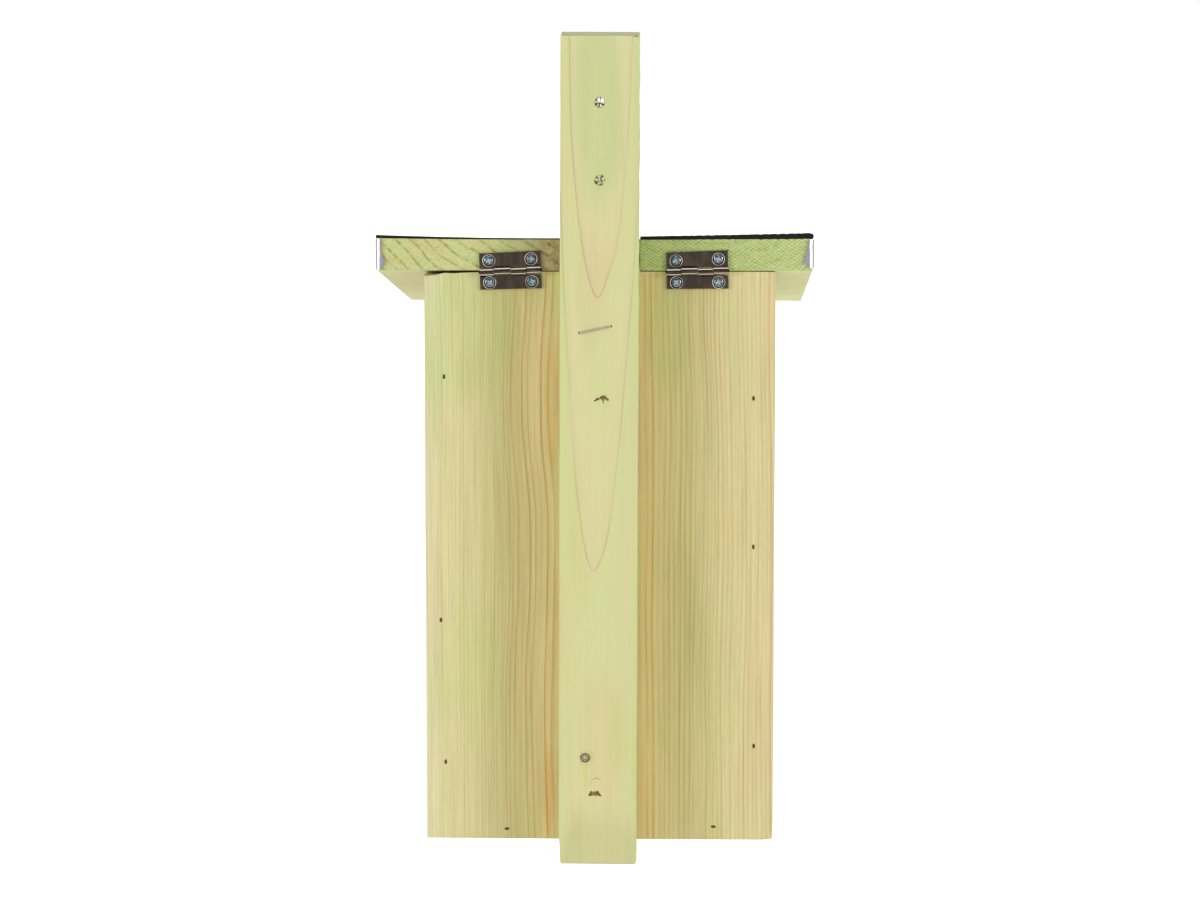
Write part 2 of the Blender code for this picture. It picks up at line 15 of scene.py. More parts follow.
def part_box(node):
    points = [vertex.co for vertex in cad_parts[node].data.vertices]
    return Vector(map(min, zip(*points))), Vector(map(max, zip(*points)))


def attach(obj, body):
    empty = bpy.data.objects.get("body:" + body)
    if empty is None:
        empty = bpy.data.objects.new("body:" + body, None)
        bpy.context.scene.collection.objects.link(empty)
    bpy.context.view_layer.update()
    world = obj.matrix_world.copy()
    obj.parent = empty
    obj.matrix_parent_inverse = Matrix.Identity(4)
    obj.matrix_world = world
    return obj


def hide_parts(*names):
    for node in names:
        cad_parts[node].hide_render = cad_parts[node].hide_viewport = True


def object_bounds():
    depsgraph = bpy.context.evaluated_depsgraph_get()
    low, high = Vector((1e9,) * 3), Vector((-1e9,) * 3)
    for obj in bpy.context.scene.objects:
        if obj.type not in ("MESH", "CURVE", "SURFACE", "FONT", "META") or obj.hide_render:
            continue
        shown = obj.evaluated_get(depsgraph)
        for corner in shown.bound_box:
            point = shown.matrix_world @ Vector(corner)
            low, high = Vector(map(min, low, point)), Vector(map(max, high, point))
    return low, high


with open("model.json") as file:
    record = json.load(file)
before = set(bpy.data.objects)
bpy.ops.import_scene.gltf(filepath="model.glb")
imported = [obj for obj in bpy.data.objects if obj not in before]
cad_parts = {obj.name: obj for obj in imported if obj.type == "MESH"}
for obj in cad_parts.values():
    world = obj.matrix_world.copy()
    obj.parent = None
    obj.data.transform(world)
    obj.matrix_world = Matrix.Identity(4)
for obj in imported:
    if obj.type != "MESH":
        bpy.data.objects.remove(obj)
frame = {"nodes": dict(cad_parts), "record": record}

cad_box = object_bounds()

MM = 0.001
SLOPE = math.radians(8)
GAP = 0.3 * MM
OUTWARD = (0, 1, 0)

# How much brighter than its own colour an upright surface looks in the studio
STUDIO_LIGHT = 1.36

# The angle in degrees from which an edge of metal, and of wood, is drawn sharp
SHARP, SHARP_WOOD = 40, 35

# The steps of a rounded quarter turn
ROUNDING = [math.radians(angle) for angle in (22, 45, 68, 90)]


# ---------------------------------------------------------------- places taken from the frame

def size_of(node):
    """The low and high corners of a CAD node's box."""
    return [Vector(corner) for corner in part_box(node)]


def centre_of(node):
    low, high = size_of(node)
    return (low + high) / 2


BATTEN_LOW, BATTEN_HIGH = size_of("back_batten")
PANEL_LOW, PANEL_HIGH = size_of("back_panel")
FELT_LOW, FELT_HIGH = size_of("roofing_felt")
BOARD = PANEL_HIGH.y - PANEL_LOW.y
ROOF_REAR = Vector((0, PANEL_HIGH.y, PANEL_HIGH.z + GAP))
ROOF_MIDDLE = (FELT_LOW.x + FELT_HIGH.x) / 2
ROOF_HALF = (FELT_HIGH.x - FELT_LOW.x) / 2
ROOF_REACH = ROOF_REAR.y - size_of("roof_board_right")[0].y
ROOF_LENGTH = ROOF_REACH / math.cos(SLOPE) - BOARD * math.tan(SLOPE)
BATTEN_LEAN = math.radians(-0.19)
NOTCH_LEEWAY = 0.25 * MM
NOTCH_OFFSET = -0.3 * MM
BRADS = sorted(name for name in frame["nodes"] if "brad" in name)


def clamp(value):
    return max(0.0, min(1.0, value))


def on_roof(x, along, up):
    """The point at a distance down the slope from the roof's lower rear edge, and up from its underside."""
    y = ROOF_REAR.y - along * math.cos(SLOPE) - up * math.sin(SLOPE)
    z = ROOF_REAR.z - along * math.sin(SLOPE) + up * math.cos(SLOPE)
    return Vector((x, y, z))


def wall_top(y):
    return PANEL_HIGH.z - (PANEL_HIGH.y - y) * math.tan(SLOPE)


# ---------------------------------------------------------------- node graphs

def srgb(red, green, blue, light=1.0):
    """A linear colour from the 0 to 255 values that a screen shows of it, under so much light."""
    shares = [value / 255 for value in (red, green, blue)]
    linear = [share / 12.92 if share < 0.04045 else ((share + 0.055) / 1.055) ** 2.4 for share in shares]
    return (*(value / light for value in linear), 1.0)


def lit(red, green, blue):
    """The colour of a surface that looks like this when it stands upright in the studio."""
    return srgb(red, green, blue, STUDIO_LIGHT)


def scaled(colour, factor):
    return (*(value * factor for value in colour[:3]), 1.0)


class Wire:
    """A node's output. A sum or a product with it makes a node of its own."""

    def __init__(self, graph, socket):
        self.graph, self.socket = graph, socket

    def __add__(self, other):
        return self.graph.math("ADD", self, other)

    def __sub__(self, other):
        return self.graph.math("SUBTRACT", self, other)

    def __rsub__(self, other):
        return self.graph.math("SUBTRACT", other, self)

    def __mul__(self, other):
        return self.graph.math("MULTIPLY", self, other)

    def __truediv__(self, other):
        return self.graph.math("DIVIDE", self, other)

    def __abs__(self):
        return self.graph.math("ABSOLUTE", self)

    __radd__ = __add__


class Graph:
    """A material's nodes. A number, a colour or a wire may be given wherever a value is expected."""

    def __init__(self, name, roughness=0.5, metallic=0.0, specular=0.5):
        self.material = bpy.data.materials.new(name)
        self.material.use_nodes = True
        self.tree = self.material.node_tree
        self.shader = self.tree.nodes["Principled BSDF"].inputs
        uniform = {"Roughness": roughness, "Metallic": metallic, "Specular IOR Level": specular}
        for key, value in uniform.items():
            self.shader[key].default_value = value
        self.place = self.stretch(self.coordinate("Object"), (1000, 1000, 1000))

    def feed(self, socket, value):
        if isinstance(value, Wire):
            self.tree.links.new(value.socket, socket)
        else:
            socket.default_value = value

    def node(self, kind, values, output=0, **settings):
        made = self.tree.nodes.new("ShaderNode" + kind)
        for key, value in settings.items():
            setattr(made, key, value)
        for key, value in values.items():
            self.feed(made.inputs[key], value)
        return Wire(self, made.outputs[output])

    def coordinate(self, kind):
        return self.node("TexCoord", {}, kind)

    def math(self, operation, first, second=0.0):
        return self.node("Math", {0: first, 1: second}, operation=operation)

    def length(self, first, second):
        return self.math("SQRT", first * first + second * second)

    def stretch(self, vector, factors):
        return self.node("VectorMath", {0: vector, 1: factors}, operation="MULTIPLY")

    def shift(self, vector, offset):
        return self.node("VectorMath", {0: vector, 1: offset}, operation="ADD")

    def split(self, vector):
        made = self.tree.nodes.new("ShaderNodeSeparateXYZ")
        self.feed(made.inputs[0], vector)
        return [Wire(self, output) for output in made.outputs]

    def join(self, x, y, z):
        return self.node("CombineXYZ", {0: x, 1: y, 2: z})

    def noise(self, vector, scale, detail=2.0, rough=0.5):
        return self.node("TexNoise", {"Vector": vector, "Scale": scale, "Detail": detail, "Roughness": rough})

    def grain(self, factors, detail=3.0, scale=1.0, rough=0.5):
        """Noise stretched along the axes, by the reciprocals of these factors."""
        return self.noise(self.stretch(self.place, factors), scale, detail, rough)

    def wave(self, amount, vector, scale, detail=2.0):
        """Noise about zero, about plus or minus amount."""
        return (self.noise(vector, scale, detail) - 0.5) * (3 * amount)

    def between(self, value, low, high, first=0.0, last=1.0):
        """Goes smoothly from first to last as value goes from low to high."""
        values = {0: value, 1: low, 2: high, 3: first, 4: last}
        return self.node("MapRange", values, interpolation_type="SMOOTHSTEP")

    def ramp(self, value, stops):
        """Colours, or grey levels, at places from 0 to 1."""
        made = self.tree.nodes.new("ShaderNodeValToRGB")
        elements = made.color_ramp.elements
        while len(elements) < len(stops):
            elements.new(0.5)
        for element, (place, colour) in zip(elements, stops):
            element.position = place
            element.color = colour if isinstance(colour, tuple) else (colour, colour, colour, 1.0)
        self.feed(made.inputs[0], value)
        return Wire(self, made.outputs[0])

    def mix(self, share, first, second, blend="MIX"):
        return self.node("Mix", {0: share, 6: first, 7: second}, 2, data_type="RGBA", blend_type=blend)

    def multiply(self, first, second):
        return self.mix(1.0, first, second, "MULTIPLY")

    def bump(self, height, distance, strength=1.0):
        return self.node("Bump", {"Height": height, "Distance": distance, "Strength": strength})

    def finish(self, colour, roughness=None, normal=None):
        for key, value in (("Base Color", colour), ("Roughness", roughness), ("Normal", normal)):
            if value is not None:
                self.feed(self.shader[key], value)
        return self.material


# ---------------------------------------------------------------- wood

# How dark a ring is from its start (0) to its end (1)
FADE = ((0.0, 0.0), (0.40, 0.04), (0.70, 0.45), (0.86, 1.0), (0.95, 0.7), (1.0, 0.0))
THIN = ((0.0, 0.0), (0.62, 0.0), (0.78, 1.0), (0.88, 0.8), (0.96, 0.0), (1.0, 0.0))


class Pine(Graph):
    """Treated pine as a solid, so that the rings on a board's faces run on over its edges and ends.

    Lengths are in mm. grain_axis and wide_axis are the board's, along its fibres and across its width. The
    pith's place is (across, through) at height 0, and lean is how far it moves for each mm along the board.
    Each push is (amount, across, along, half width, half length) of a place where fibres are pushed aside.
    """

    def __init__(self, name, seed, grain_axis, wide_axis, width, pith, lean, wander=1.2, pushes=()):
        super().__init__(name, 0.72, specular=0.25)
        axes = dict(zip("XYZ", self.split(self.place)))
        normals = dict(zip("XYZ", self.split(self.coordinate("Normal"))))
        self.wide, self.along = axes.pop(wide_axis), axes.pop(grain_axis)
        self.thick, = axes.values()
        self.is_end = self.between(abs(normals[grain_axis]), 0.55, 0.85)
        offset = (seed * 37, seed * 11, seed * 53)
        self.place = self.shift(self.join(self.wide, self.thick, self.along), offset)

        # The fibres wander slowly along the board, and flow round whatever pushes them aside.
        slow = self.stretch(self.place, (1 / 30, 1 / 30, 1 / 150))
        self.across = self.wide + self.wave(wander, slow, 1.0)
        through = self.thick + self.wave(wander, self.shift(slow, (7, 3, 5)), 1.0)
        for amount, *where in pushes:
            self.across += self.spot(*where) * amount
        self.span = self.across / width + 0.5
        aside = self.across - (self.along * lean[0] + pith[0])
        self.radius = self.length(aside, through - (self.along * lean[1] + pith[1]))
        self.aside = aside / self.radius
        self.beyond = self.math("GREATER_THAN", self.across, pith[0])

    def spot(self, across, along, half_width, half_length):
        """1 at a place on the board's face, fading to 0 at these distances from it."""
        gap = self.length((self.wide - across) / half_width, (self.along - along) / half_length)
        return self.between(gap, 0.15, 1.0, 1.0, 0.0)

    def round_knot(self, across, along, stops):
        """Tints by the distance in mm from a knot, divided by 6."""
        gap = self.length(self.wide - across, self.along - along)
        return self.ramp((gap + self.wave(0.5, self.place, 0.35)) / 6, stops)

    def even_rings(self, spacing, shape=FADE, unevenness=0.45):
        """Rings about so far apart. Each is pale, darkens, and ends at once."""
        drift = self.join(self.radius * (0.35 / spacing), 0.0, 0.0)
        place = (self.radius + self.wave(spacing * unevenness, drift, 1.0)) / spacing
        return self.ramp(self.math("FRACT", place), shape)

    def counted_rings(self, *sides):
        """Rings from (radius, ring number) stops on each side of the pith, as the years' growth differed."""
        numbers = []
        for stops in sides:
            (low, _), (high, last) = stops[0], stops[-1]
            share = self.node("MapRange", {0: self.radius, 1: low, 2: high})
            levels = [((radius - low) / (high - low), number / last) for radius, number in stops]
            numbers.append(self.ramp(share, levels) * last)
        number = self.node("Mix", {0: self.beyond, 2: numbers[0], 3: numbers[1]}, data_type="FLOAT")
        uneven = number + self.wave(0.22, self.join(number, 0.0, 0.0), 0.6)
        year = self.noise(self.join(self.math("FLOOR", uneven), 0.0, 0.0), 0.73, 0.0)
        return self.ramp(self.math("FRACT", uneven), FADE) * self.between(year, 0.38, 0.62, 0.45, 1.4)

    def single_rings(self, radii, slant, width):
        """A few rings at these distances from the pith, drawn as thin on the face as on the end."""
        slope = self.length(self.aside, slant) * (1 - self.is_end) + self.is_end
        lines = 0.0
        for radius in radii:
            gap = (self.radius - radius) / slope
            share = self.node("MapRange", {0: gap, 1: -4 * width, 2: 2 * width})
            line = self.ramp(share, ((0.0, 0.0), (0.45, 0.18), (0.62, 1.0), (0.70, 1.0), (0.84, 0.0)))
            lines = self.math("MAXIMUM", line, lines)
        return lines

    def tinted(self, share, base, tint):
        return self.mix(share, base, self.multiply(base, tint))

    def face(self, rings, colours, lates, patches=(), streak=0.05, fade=0.5):
        """Broad bands of colour across the board, patches, ring lines, then fibres."""
        colour = self.ramp(self.span, colours)
        for tint, share, *where in patches:
            ragged = self.wave(0.18, self.stretch(self.place, (1 / 5, 1 / 5, 1 / 25)), 1.0)
            inside = self.between(self.spot(*where) + ragged, 0.1, 0.8)
            colour = self.tinted(inside * share, colour, tint)
        clouds = self.grain((1 / 16, 1 / 16, 1 / 70))
        colour = self.tinted(self.between(clouds, 0.50, 0.68, 0.0, 0.5), colour, srgb(240, 255, 232))
        colour = self.tinted(self.between(clouds, 0.32, 0.46, 0.5, 0.0), colour, srgb(255, 245, 238))
        lines = rings * self.between(self.grain((1 / 5, 1 / 5, 1 / 80)), 0.32, 0.64, 1 - fade, 1.0)
        colour = self.tinted(lines, colour, self.ramp(self.span, lates))
        self.fibres = self.grain((1.0, 1.0, 1 / 45), 3.0, 0.9, 0.65)
        flecks = self.grain((1.0, 1.0, 1 / 6), 2.0, 2.6)
        shade = self.between(self.fibres, 0.3, 0.7, 1 - streak, 1 + streak)
        return self.multiply(colour, shade + self.between(flecks, 0.3, 0.75, streak * 0.4, -streak * 0.4))

    def end(self, rings, colours, late, saw, patches=(), cloudy=0.8):
        """Sawn ends: open pores, plainer rings, and the broken strokes of a saw that crossed itself."""
        colour = self.ramp(self.span, colours)
        for tint, share, low, high in patches:
            band = self.between(self.span, low - 0.03, low + 0.03)
            band *= self.between(self.span, high - 0.03, high + 0.03, 1.0, 0.0)
            specks = self.between(self.noise(self.place, 0.5, 3.0), 0.35, 0.6)
            colour = self.tinted(band * specks * share, colour, tint)
        clouds = self.grain((1 / 9, 1 / 5, 1 / 9))
        colour = self.tinted(self.between(clouds, 0.50, 0.66, 0.0, cloudy), colour, srgb(240, 255, 240))
        colour = self.tinted(self.between(clouds, 0.34, 0.48, cloudy, 0.0), colour, srgb(255, 244, 232))
        pores = self.noise(self.place, 1.1, 4.0, 0.7)
        colour = self.tinted(self.between(pores, 0.45, 0.72, 0.0, 0.3), colour, srgb(178, 170, 120))
        ragged = self.between(self.noise(self.place, 0.45, 3.0), 0.35, 0.62, 0.2, 1.0)
        colour = self.tinted(rings * ragged, colour, late)
        marks = 0.0
        for turn, pitch, strength in ((1.5, 2.2, 0.55), (-1.7, 2.1, 0.75)):
            side = self.wide + self.thick * turn
            run = self.thick - self.wide * turn
            wavy = self.math("SINE", side * (2 * math.pi / pitch) + self.wave(1.5, self.place, 0.2))
            stroke = self.noise(self.join(side * (0.8 / pitch), run * 0.2, pitch), 1.0, 1.0)
            marks += wavy * strength * self.between(stroke, 0.36, 0.62, 0.0, 1.5)
        self.sawn = marks * (0.6 * saw) + pores
        return self.multiply(colour, marks * (0.17 * saw) + self.between(pores, 0.3, 0.7, 1.05, 0.95))

    def done(self, rings, face, end):
        relief = (self.fibres * 0.7 + rings * 0.25) * (1 - self.is_end) + self.sawn * self.is_end
        rough = self.between(self.fibres, 0.25, 0.75, 0.64, 0.82)
        return self.finish(self.mix(self.is_end, face, end), rough, self.bump(relief, 0.14 * MM, 0.8))


def plain_pine(name, seed, grain_axis, wide_axis, width, pith, lean, spacing):
    """A board with even rings and one general colour."""
    wood = Pine(name, seed, grain_axis, wide_axis, width, pith, lean)
    rings = wood.even_rings(spacing)
    tone, end_tone = lit(212, 204, 148), lit(198, 190, 136)
    colours = ((0.0, scaled(tone, 1.08)), (0.3, scaled(tone, 0.97)), (0.62, tone), (1.0, scaled(tone, 1.06)))
    face = wood.face(rings, colours, ((0.0, srgb(238, 216, 196)), (1.0, srgb(226, 218, 190))))
    end = wood.end(rings, ((0.0, end_tone), (1.0, scaled(end_tone, 0.92))), srgb(214, 200, 160), 0.4)
    return wood.done(rings, face, end)


def back_panel_pine():
    """Fine rings, some bold, round a pith behind the batten: olive beside it and pink towards the -X edge."""
    pushes = ((-2.6, 26.0, 20.0, 20.0, 50.0), (1.6, 31.0, -42.0, 16.0, 60.0), (1.6, -52.0, -30.0, 26.0, 90.0),
              (0.9, -33.0, 20.0, 16.0, 45.0), (-0.8, -44.0, -80.0, 18.0, 50.0))
    wood = Pine("back_panel_pine", 1, "Z", "X", 135.0, (0.0, -47.0), (0.004, 0.0), 1.0, pushes)
    rings = wood.counted_rings(
        ((35.0, 1.0), (38.1, 4.0), (44.2, 9.0), (49.3, 13.0), (56.6, 20.0), (82.0, 37.0)),
        ((35.0, 1.0), (38.1, 4.0), (49.3, 12.0), (58.6, 22.0), (82.0, 41.0)))
    # Across the panel the colours are partly the wood's own, oranger towards the middle, and partly painted
    # light and shade: lighter beside the batten, where the lamps' shadow falls, and darker in a band about 33
    # to 40 mm out on each side, at that shadow's edge.
    colours = ((0.0, lit(210, 196, 148)), (0.084, lit(209, 199, 147)), (0.142, lit(206, 196, 143)),
               (0.199, lit(200, 189, 134)), (0.25, lit(203, 191, 131)), (0.315, lit(209, 192, 131)),
               (0.373, lit(220, 197, 134)), (0.42, lit(222, 200, 138)), (0.60, lit(222, 204, 142)),
               (0.647, lit(218, 202, 142)), (0.69, lit(210, 194, 132)), (0.734, lit(204, 188, 128)),
               (0.792, lit(196, 187, 129)), (0.821, lit(199, 191, 135)), (0.879, lit(207, 198, 145)),
               (0.936, lit(210, 201, 149)), (1.0, lit(214, 206, 165)))
    lates = ((0.0, srgb(247, 222, 210)), (0.17, srgb(245, 220, 206)), (0.23, srgb(234, 230, 216)),
             (0.33, srgb(230, 225, 204)), (0.42, srgb(240, 220, 194)), (0.62, srgb(244, 210, 184)),
             (0.70, srgb(230, 214, 196)), (0.78, srgb(240, 234, 220)), (1.0, srgb(247, 240, 229)))
    patches = ((srgb(240, 255, 241), 0.75, 54.0, 44.0, 32.0, 42.0),
               (srgb(255, 228, 200), 0.7, 20.0, -134.0, 4.0, 30.0),
               (srgb(255, 232, 204), 0.5, 18.5, 16.0, 4.0, 40.0),
               (srgb(236, 234, 218), 0.35, -31.0, -70.0, 12.0, 60.0),
               (srgb(232, 248, 226), 0.6, -26.0, 44.0, 13.0, 34.0),
               (srgb(244, 255, 246), 0.8, 0.0, 62.0, 46.0, 26.0))
    face = wood.face(rings, colours, lates, patches, streak=0.075)
    end = wood.end(rings, ((0.0, lit(196, 188, 132)), (1.0, lit(200, 190, 134))), srgb(220, 200, 160), 0.3)
    return wood.done(rings, face, end)


def batten_pine():
    """Cut near the pith, so that two rings come to the face as long narrow arches."""
    slant = 0.038
    pushes = ((1.6, 6.4, -119.0, 3.0, 5.0), (-1.6, 3.3, -119.0, 3.0, 5.0),
              (-2.2, 8.5, 108.0, 8.0, 95.0), (2.2, -8.5, 108.0, 8.0, 95.0))
    wood = Pine("batten_pine", 3, "Z", "X", 30.0, (1.1, -21.3), (-0.0143, slant), 0.6, pushes)
    rings = wood.single_rings((18.95, 22.88), slant, 0.34)
    heart = wood.ramp(wood.radius / 40, (
        (0.0, srgb(255, 250, 253)), (0.44, srgb(255, 251, 253)), (0.475, srgb(255, 247, 250)),
        (0.480, srgb(250, 254, 246)), (0.53, srgb(254, 252, 250)), (0.572, srgb(255, 248, 249)),
        (0.578, srgb(249, 253, 244)), (0.66, srgb(253, 251, 247))))
    colours = ((0.0, lit(200, 206, 146)), (0.10, lit(207, 206, 152)), (0.5, lit(211, 208, 156)),
               (0.90, lit(208, 206, 152)), (1.0, lit(204, 208, 147)))
    patches = ((srgb(236, 250, 236), 0.9, 0.0, 130.0, 15.0, 62.0),
               (srgb(255, 246, 249), 0.7, 3.0, 62.0, 9.0, 40.0),
               (srgb(255, 244, 240), 0.6, -2.0, -112.0, 14.0, 40.0),
               (srgb(255, 246, 200), 0.5, 5.3, -127.0, 1.3, 8.0),
               (srgb(240, 241, 238), 0.9, 0.0, -162.0, 30.0, 36.0))
    late = srgb(228, 222, 222)
    face = wood.face(rings, colours, ((0.0, late), (1.0, late)), patches, streak=0.02, fade=0.85)
    plain = srgb(255, 255, 255)
    halo = wood.round_knot(4.9, -118.9, (
        (0.0, srgb(214, 210, 180)), (0.30, srgb(224, 222, 196)), (0.35, plain), (0.40, plain),
        (0.46, srgb(234, 238, 222)), (0.53, plain), (1.0, plain)))
    face = wood.multiply(wood.multiply(face, heart), halo)
    end = wood.end(rings, ((0.0, lit(162, 164, 124)), (1.0, lit(162, 164, 126))), srgb(200, 190, 150), 0.2)
    return wood.done(rings, face, end)


UNDERSIDE_LATES = ((0.0, srgb(250, 246, 238)), (1.0, srgb(250, 246, 238)))


def roof_pine_right():
    """The rear end is pale, with long thin rings, and browner and darker beside the batten: partly its own
    colour, partly painted shade.
    """
    sand = lit(213, 203, 147)
    wood = Pine("roof_board_right_pine", 5, "Y", "X", 168.0, (-60.0, 220.0), (0.0, 0.01), 2.6)
    rings = wood.even_rings(4.2, THIN, 0.5)
    # The darker stops from 0.58 to 0.70, beside the batten, are partly the wood's own colour and partly
    # painted shade from the batten.
    ends = ((0.0, sand), (0.58, lit(180, 168, 116)), (0.64, lit(180, 172, 120)), (0.70, lit(190, 190, 128)),
            (0.78, lit(198, 199, 138)), (1.0, lit(198, 199, 139)))
    # The face colours are partly the wood's own and partly painted light, raised to brighten the underside,
    # which faces down.
    under = ((0.0, lit(216, 216, 168)), (0.5, lit(212, 208, 158)), (1.0, lit(216, 214, 166)))
    # A brown band beside the batten: partly the wood's colour, partly painted shade.
    brown_and_shade = (srgb(226, 204, 192), 0.75, 0.52, 0.64)
    end = wood.end(rings, ends, srgb(202, 198, 172), 0.12, (brown_and_shade,))
    return wood.done(rings, wood.face(rings, under, UNDERSIDE_LATES), end)


def roof_pine_left():
    """The rear end is green and rough from the saw."""
    wood = Pine("roof_board_left_pine", 4, "Y", "X", 168.0, (-40.0, 150.0), (0.01, 0.01), 1.0)
    rings = wood.even_rings(5.5)
    ends = ((0.0, lit(188, 198, 139)), (0.10, lit(184, 196, 130)), (0.19, lit(178, 191, 124)),
            (0.30, lit(176, 190, 120)), (0.40, lit(175, 190, 116)), (1.0, lit(175, 190, 116)))
    # The face colours are partly the wood's own and partly painted light, raised to brighten the underside,
    # which faces down.
    under = ((0.0, lit(222, 226, 176)), (0.5, lit(218, 220, 168)), (1.0, lit(218, 220, 168)))
    end = wood.end(rings, ends, srgb(236, 244, 214), 1.0, cloudy=0.2)
    return wood.done(rings, wood.face(rings, under, UNDERSIDE_LATES), end)


# ---------------------------------------------------------------- other materials

def plated(name, colour, roughness, dullness, seed, metallic=1.0, rubbed=None, painted_sheen_at=None):
    """Plated metal, with a faint brushed grain and dull patches.

    Two brighter colours may be given for what faces down and up, where the surface turns away from +-Y:
    painted highlights. They come in as the normal's Y falls from the first to the second of two given values.
    """
    g = Graph(name, roughness, metallic)
    g.place = g.shift(g.place, (seed, seed * 2.0, seed * 3.0))
    patch = g.grain((0.5, 0.5, 0.12), 2.0)
    brushed = g.grain((6.0, 6.0, 0.7))
    tone = g.mix(g.between(patch, 0.35, 0.65), colour, scaled(colour, 1 - dullness))
    if rubbed:
        # Painted highlight: brighter colours, one for what faces down and one for what faces up, where the
        # normal turns away from +-Y.
        x, y, z = g.split(g.coordinate("Normal"))
        steep = g.between(abs(y), *painted_sheen_at) * g.between(abs(x), 0.60, 0.72, 1.0, 0.0)
        tone = g.mix(steep, tone, g.mix(g.between(z, -0.4, 0.4), *rubbed))
    rough = g.between(brushed, 0.3, 0.7, roughness * 0.75, roughness * 1.25) + g.wave(0.04, g.place, 0.3)
    return g.finish(tone, rough, g.bump(brushed, 0.01 * MM, 0.5))


def roofing_felt():
    g = Graph("black_bitumen_felt", 0.85, specular=0.2)
    grains = g.node("TexVoronoi", {"Vector": g.place, "Scale": 1.6}, "Distance")
    spots = g.noise(g.place, 1.1, 4.0, 0.75)
    worn = g.between(g.noise(g.place, 0.06, 3.0), 0.45, 0.7)
    tone = g.mix(g.between(spots, 0.45, 0.8), srgb(10, 10, 8), srgb(38, 38, 34))
    tone = g.mix(worn * 0.35, tone, srgb(34, 36, 32))
    rough = g.between(spots, 0.3, 0.8, 0.75, 0.95)
    return g.finish(tone, rough, g.bump(grains * -0.7 + spots, 0.35 * MM, 0.9))


def broken_wood(name, factors, stops):
    """Wood where it was torn or bored: coarse threads from dark to light."""
    g = Graph(name, 0.8)
    threads = g.grain(factors)
    return g.finish(g.ramp(threads, stops), g.between(threads, 0.3, 0.7, 0.7, 0.9), g.bump(threads, 0.2 * MM))


def knot_wood(centre):
    """A small tight knot: rings round its own heart, darkest at the rim."""
    g = Graph("knot_wood", 0.6)
    g.place = g.stretch(g.shift(g.coordinate("Object"), tuple(-value for value in centre)), (1000, 0, 1000))
    radius = g.node("VectorMath", {0: g.place}, "Value", operation="LENGTH")
    tone = g.ramp((radius + g.wave(0.22, g.place, 0.9)) / 1.95, (
        (0.0, lit(196, 186, 142)), (0.22, lit(180, 170, 126)), (0.42, lit(104, 92, 58)),
        (0.58, lit(172, 162, 118)), (0.74, lit(96, 84, 52)), (1.0, lit(80, 68, 40))))
    fine = g.noise(g.place, 5.0, 3.0)
    return g.finish(tone, g.between(fine, 0.3, 0.7, 0.5, 0.7), g.bump(fine, 0.08 * MM))


def plain_floor():
    g = Graph("pale_floor", 0.9)
    speck = g.noise(g.coordinate("Object"), 9.0)
    return g.finish(g.mix(speck, srgb(244, 244, 242), srgb(240, 240, 238)))


def make_woods():
    woods = {
        "back_panel": back_panel_pine(), "batten": batten_pine(),
        "roof_board_left": roof_pine_left(), "roof_board_right": roof_pine_right(),
        "front_panel": plain_pine("front_panel_pine", 2, "Z", "X", 135.0, (14.0, -182.0), (0.02, 0.01), 2.6),
        "floor_panel": plain_pine("floor_pine", 6, "X", "Y", 160.0, (-60.0, -190.0), (0.01, 0.02), 2.4),
        "torn": broken_wood("torn_wood", (3.0, 3.0, 0.7), (
            (0.30, lit(70, 56, 18)), (0.48, lit(124, 98, 44)), (0.66, lit(206, 168, 112)))),
        # The bored wood is painted shade: its near-black threads stand in for the shadow inside the holes
        # through the batten.
        "bored": broken_wood("bored_wood", (1.2, 1.2, 0.5), (
            (0.32, srgb(44, 42, 24)), (0.5, srgb(92, 88, 54)), (0.68, srgb(190, 188, 134)))),
        "knot": knot_wood(lean(KNOT_PLACE)),
    }
    for side, seed, pith in (("left", 7, (-78.0, -95.0)), ("right", 8, (-78.0, 20.0))):
        name = f"side_panel_{side}"
        woods[name] = plain_pine(f"{name}_pine", seed, "Z", "Y", 160.0, pith, (0.015, 0.03), 2.5)
    return woods


def make_metals():
    return {
        # The lighter colours given to the nickel, the zinc and the aluminium are painted highlights where
        # rolls, edges, rims and folds turn away from +-Y.
        "nickel": plated("nickel_plate", srgb(72, 64, 55), 0.2, 0.3, 3.0,
                         rubbed=(srgb(208, 195, 184), srgb(128, 118, 110)), painted_sheen_at=(0.90, 0.76)),
        "zinc": plated("blue_zinc_plate", srgb(88, 100, 108), 0.32, 0.3, 5.0,
                       rubbed=(srgb(216, 228, 232), srgb(180, 192, 198)), painted_sheen_at=(0.93, 0.80)),
        # A bright nickel that paints the highlight on the lip round each countersink.
        "rubbed": plated("rubbed_nickel", srgb(184, 180, 174), 0.35, 0.5, 4.0),
        # The cross recess's walls are paler and bluer than the head.
        "recess": plated("worn_recess", lit(200, 220, 230), 0.4, 0.2, 6.0, metallic=0.2),
        "steel": plated("dark_steel", srgb(98, 88, 62), 0.45, 0.3, 7.0),
        "staple": plated("galvanised_wire", srgb(166, 164, 136), 0.5, 0.1, 9.0),
        "galvanised": plated("dull_galvanised", srgb(168, 172, 176), 0.42, 0.3, 11.0),
        # The aluminium's near-white colour is a painted highlight along its rounded folds.
        "aluminium": plated("aluminium_sheet", srgb(154, 151, 160), 0.4, 0.12, 13.0,
                            rubbed=(srgb(250, 250, 252), srgb(250, 250, 252)), painted_sheen_at=(0.985, 0.955)),
    }


# ---------------------------------------------------------------- meshes

def spread(low, high, step, radius):
    """Positions along one edge of a block, close together where the arrises are rounded."""
    rounded = [radius * share for share in (0.0, 0.42, 0.73)]
    count = max(1, round((high - low - 2 * radius) / step))
    flat = [low + radius + (high - low - 2 * radius) * k / count for k in range(count + 1)]
    return [low + d for d in rounded] + flat + [high - d for d in reversed(rounded)]


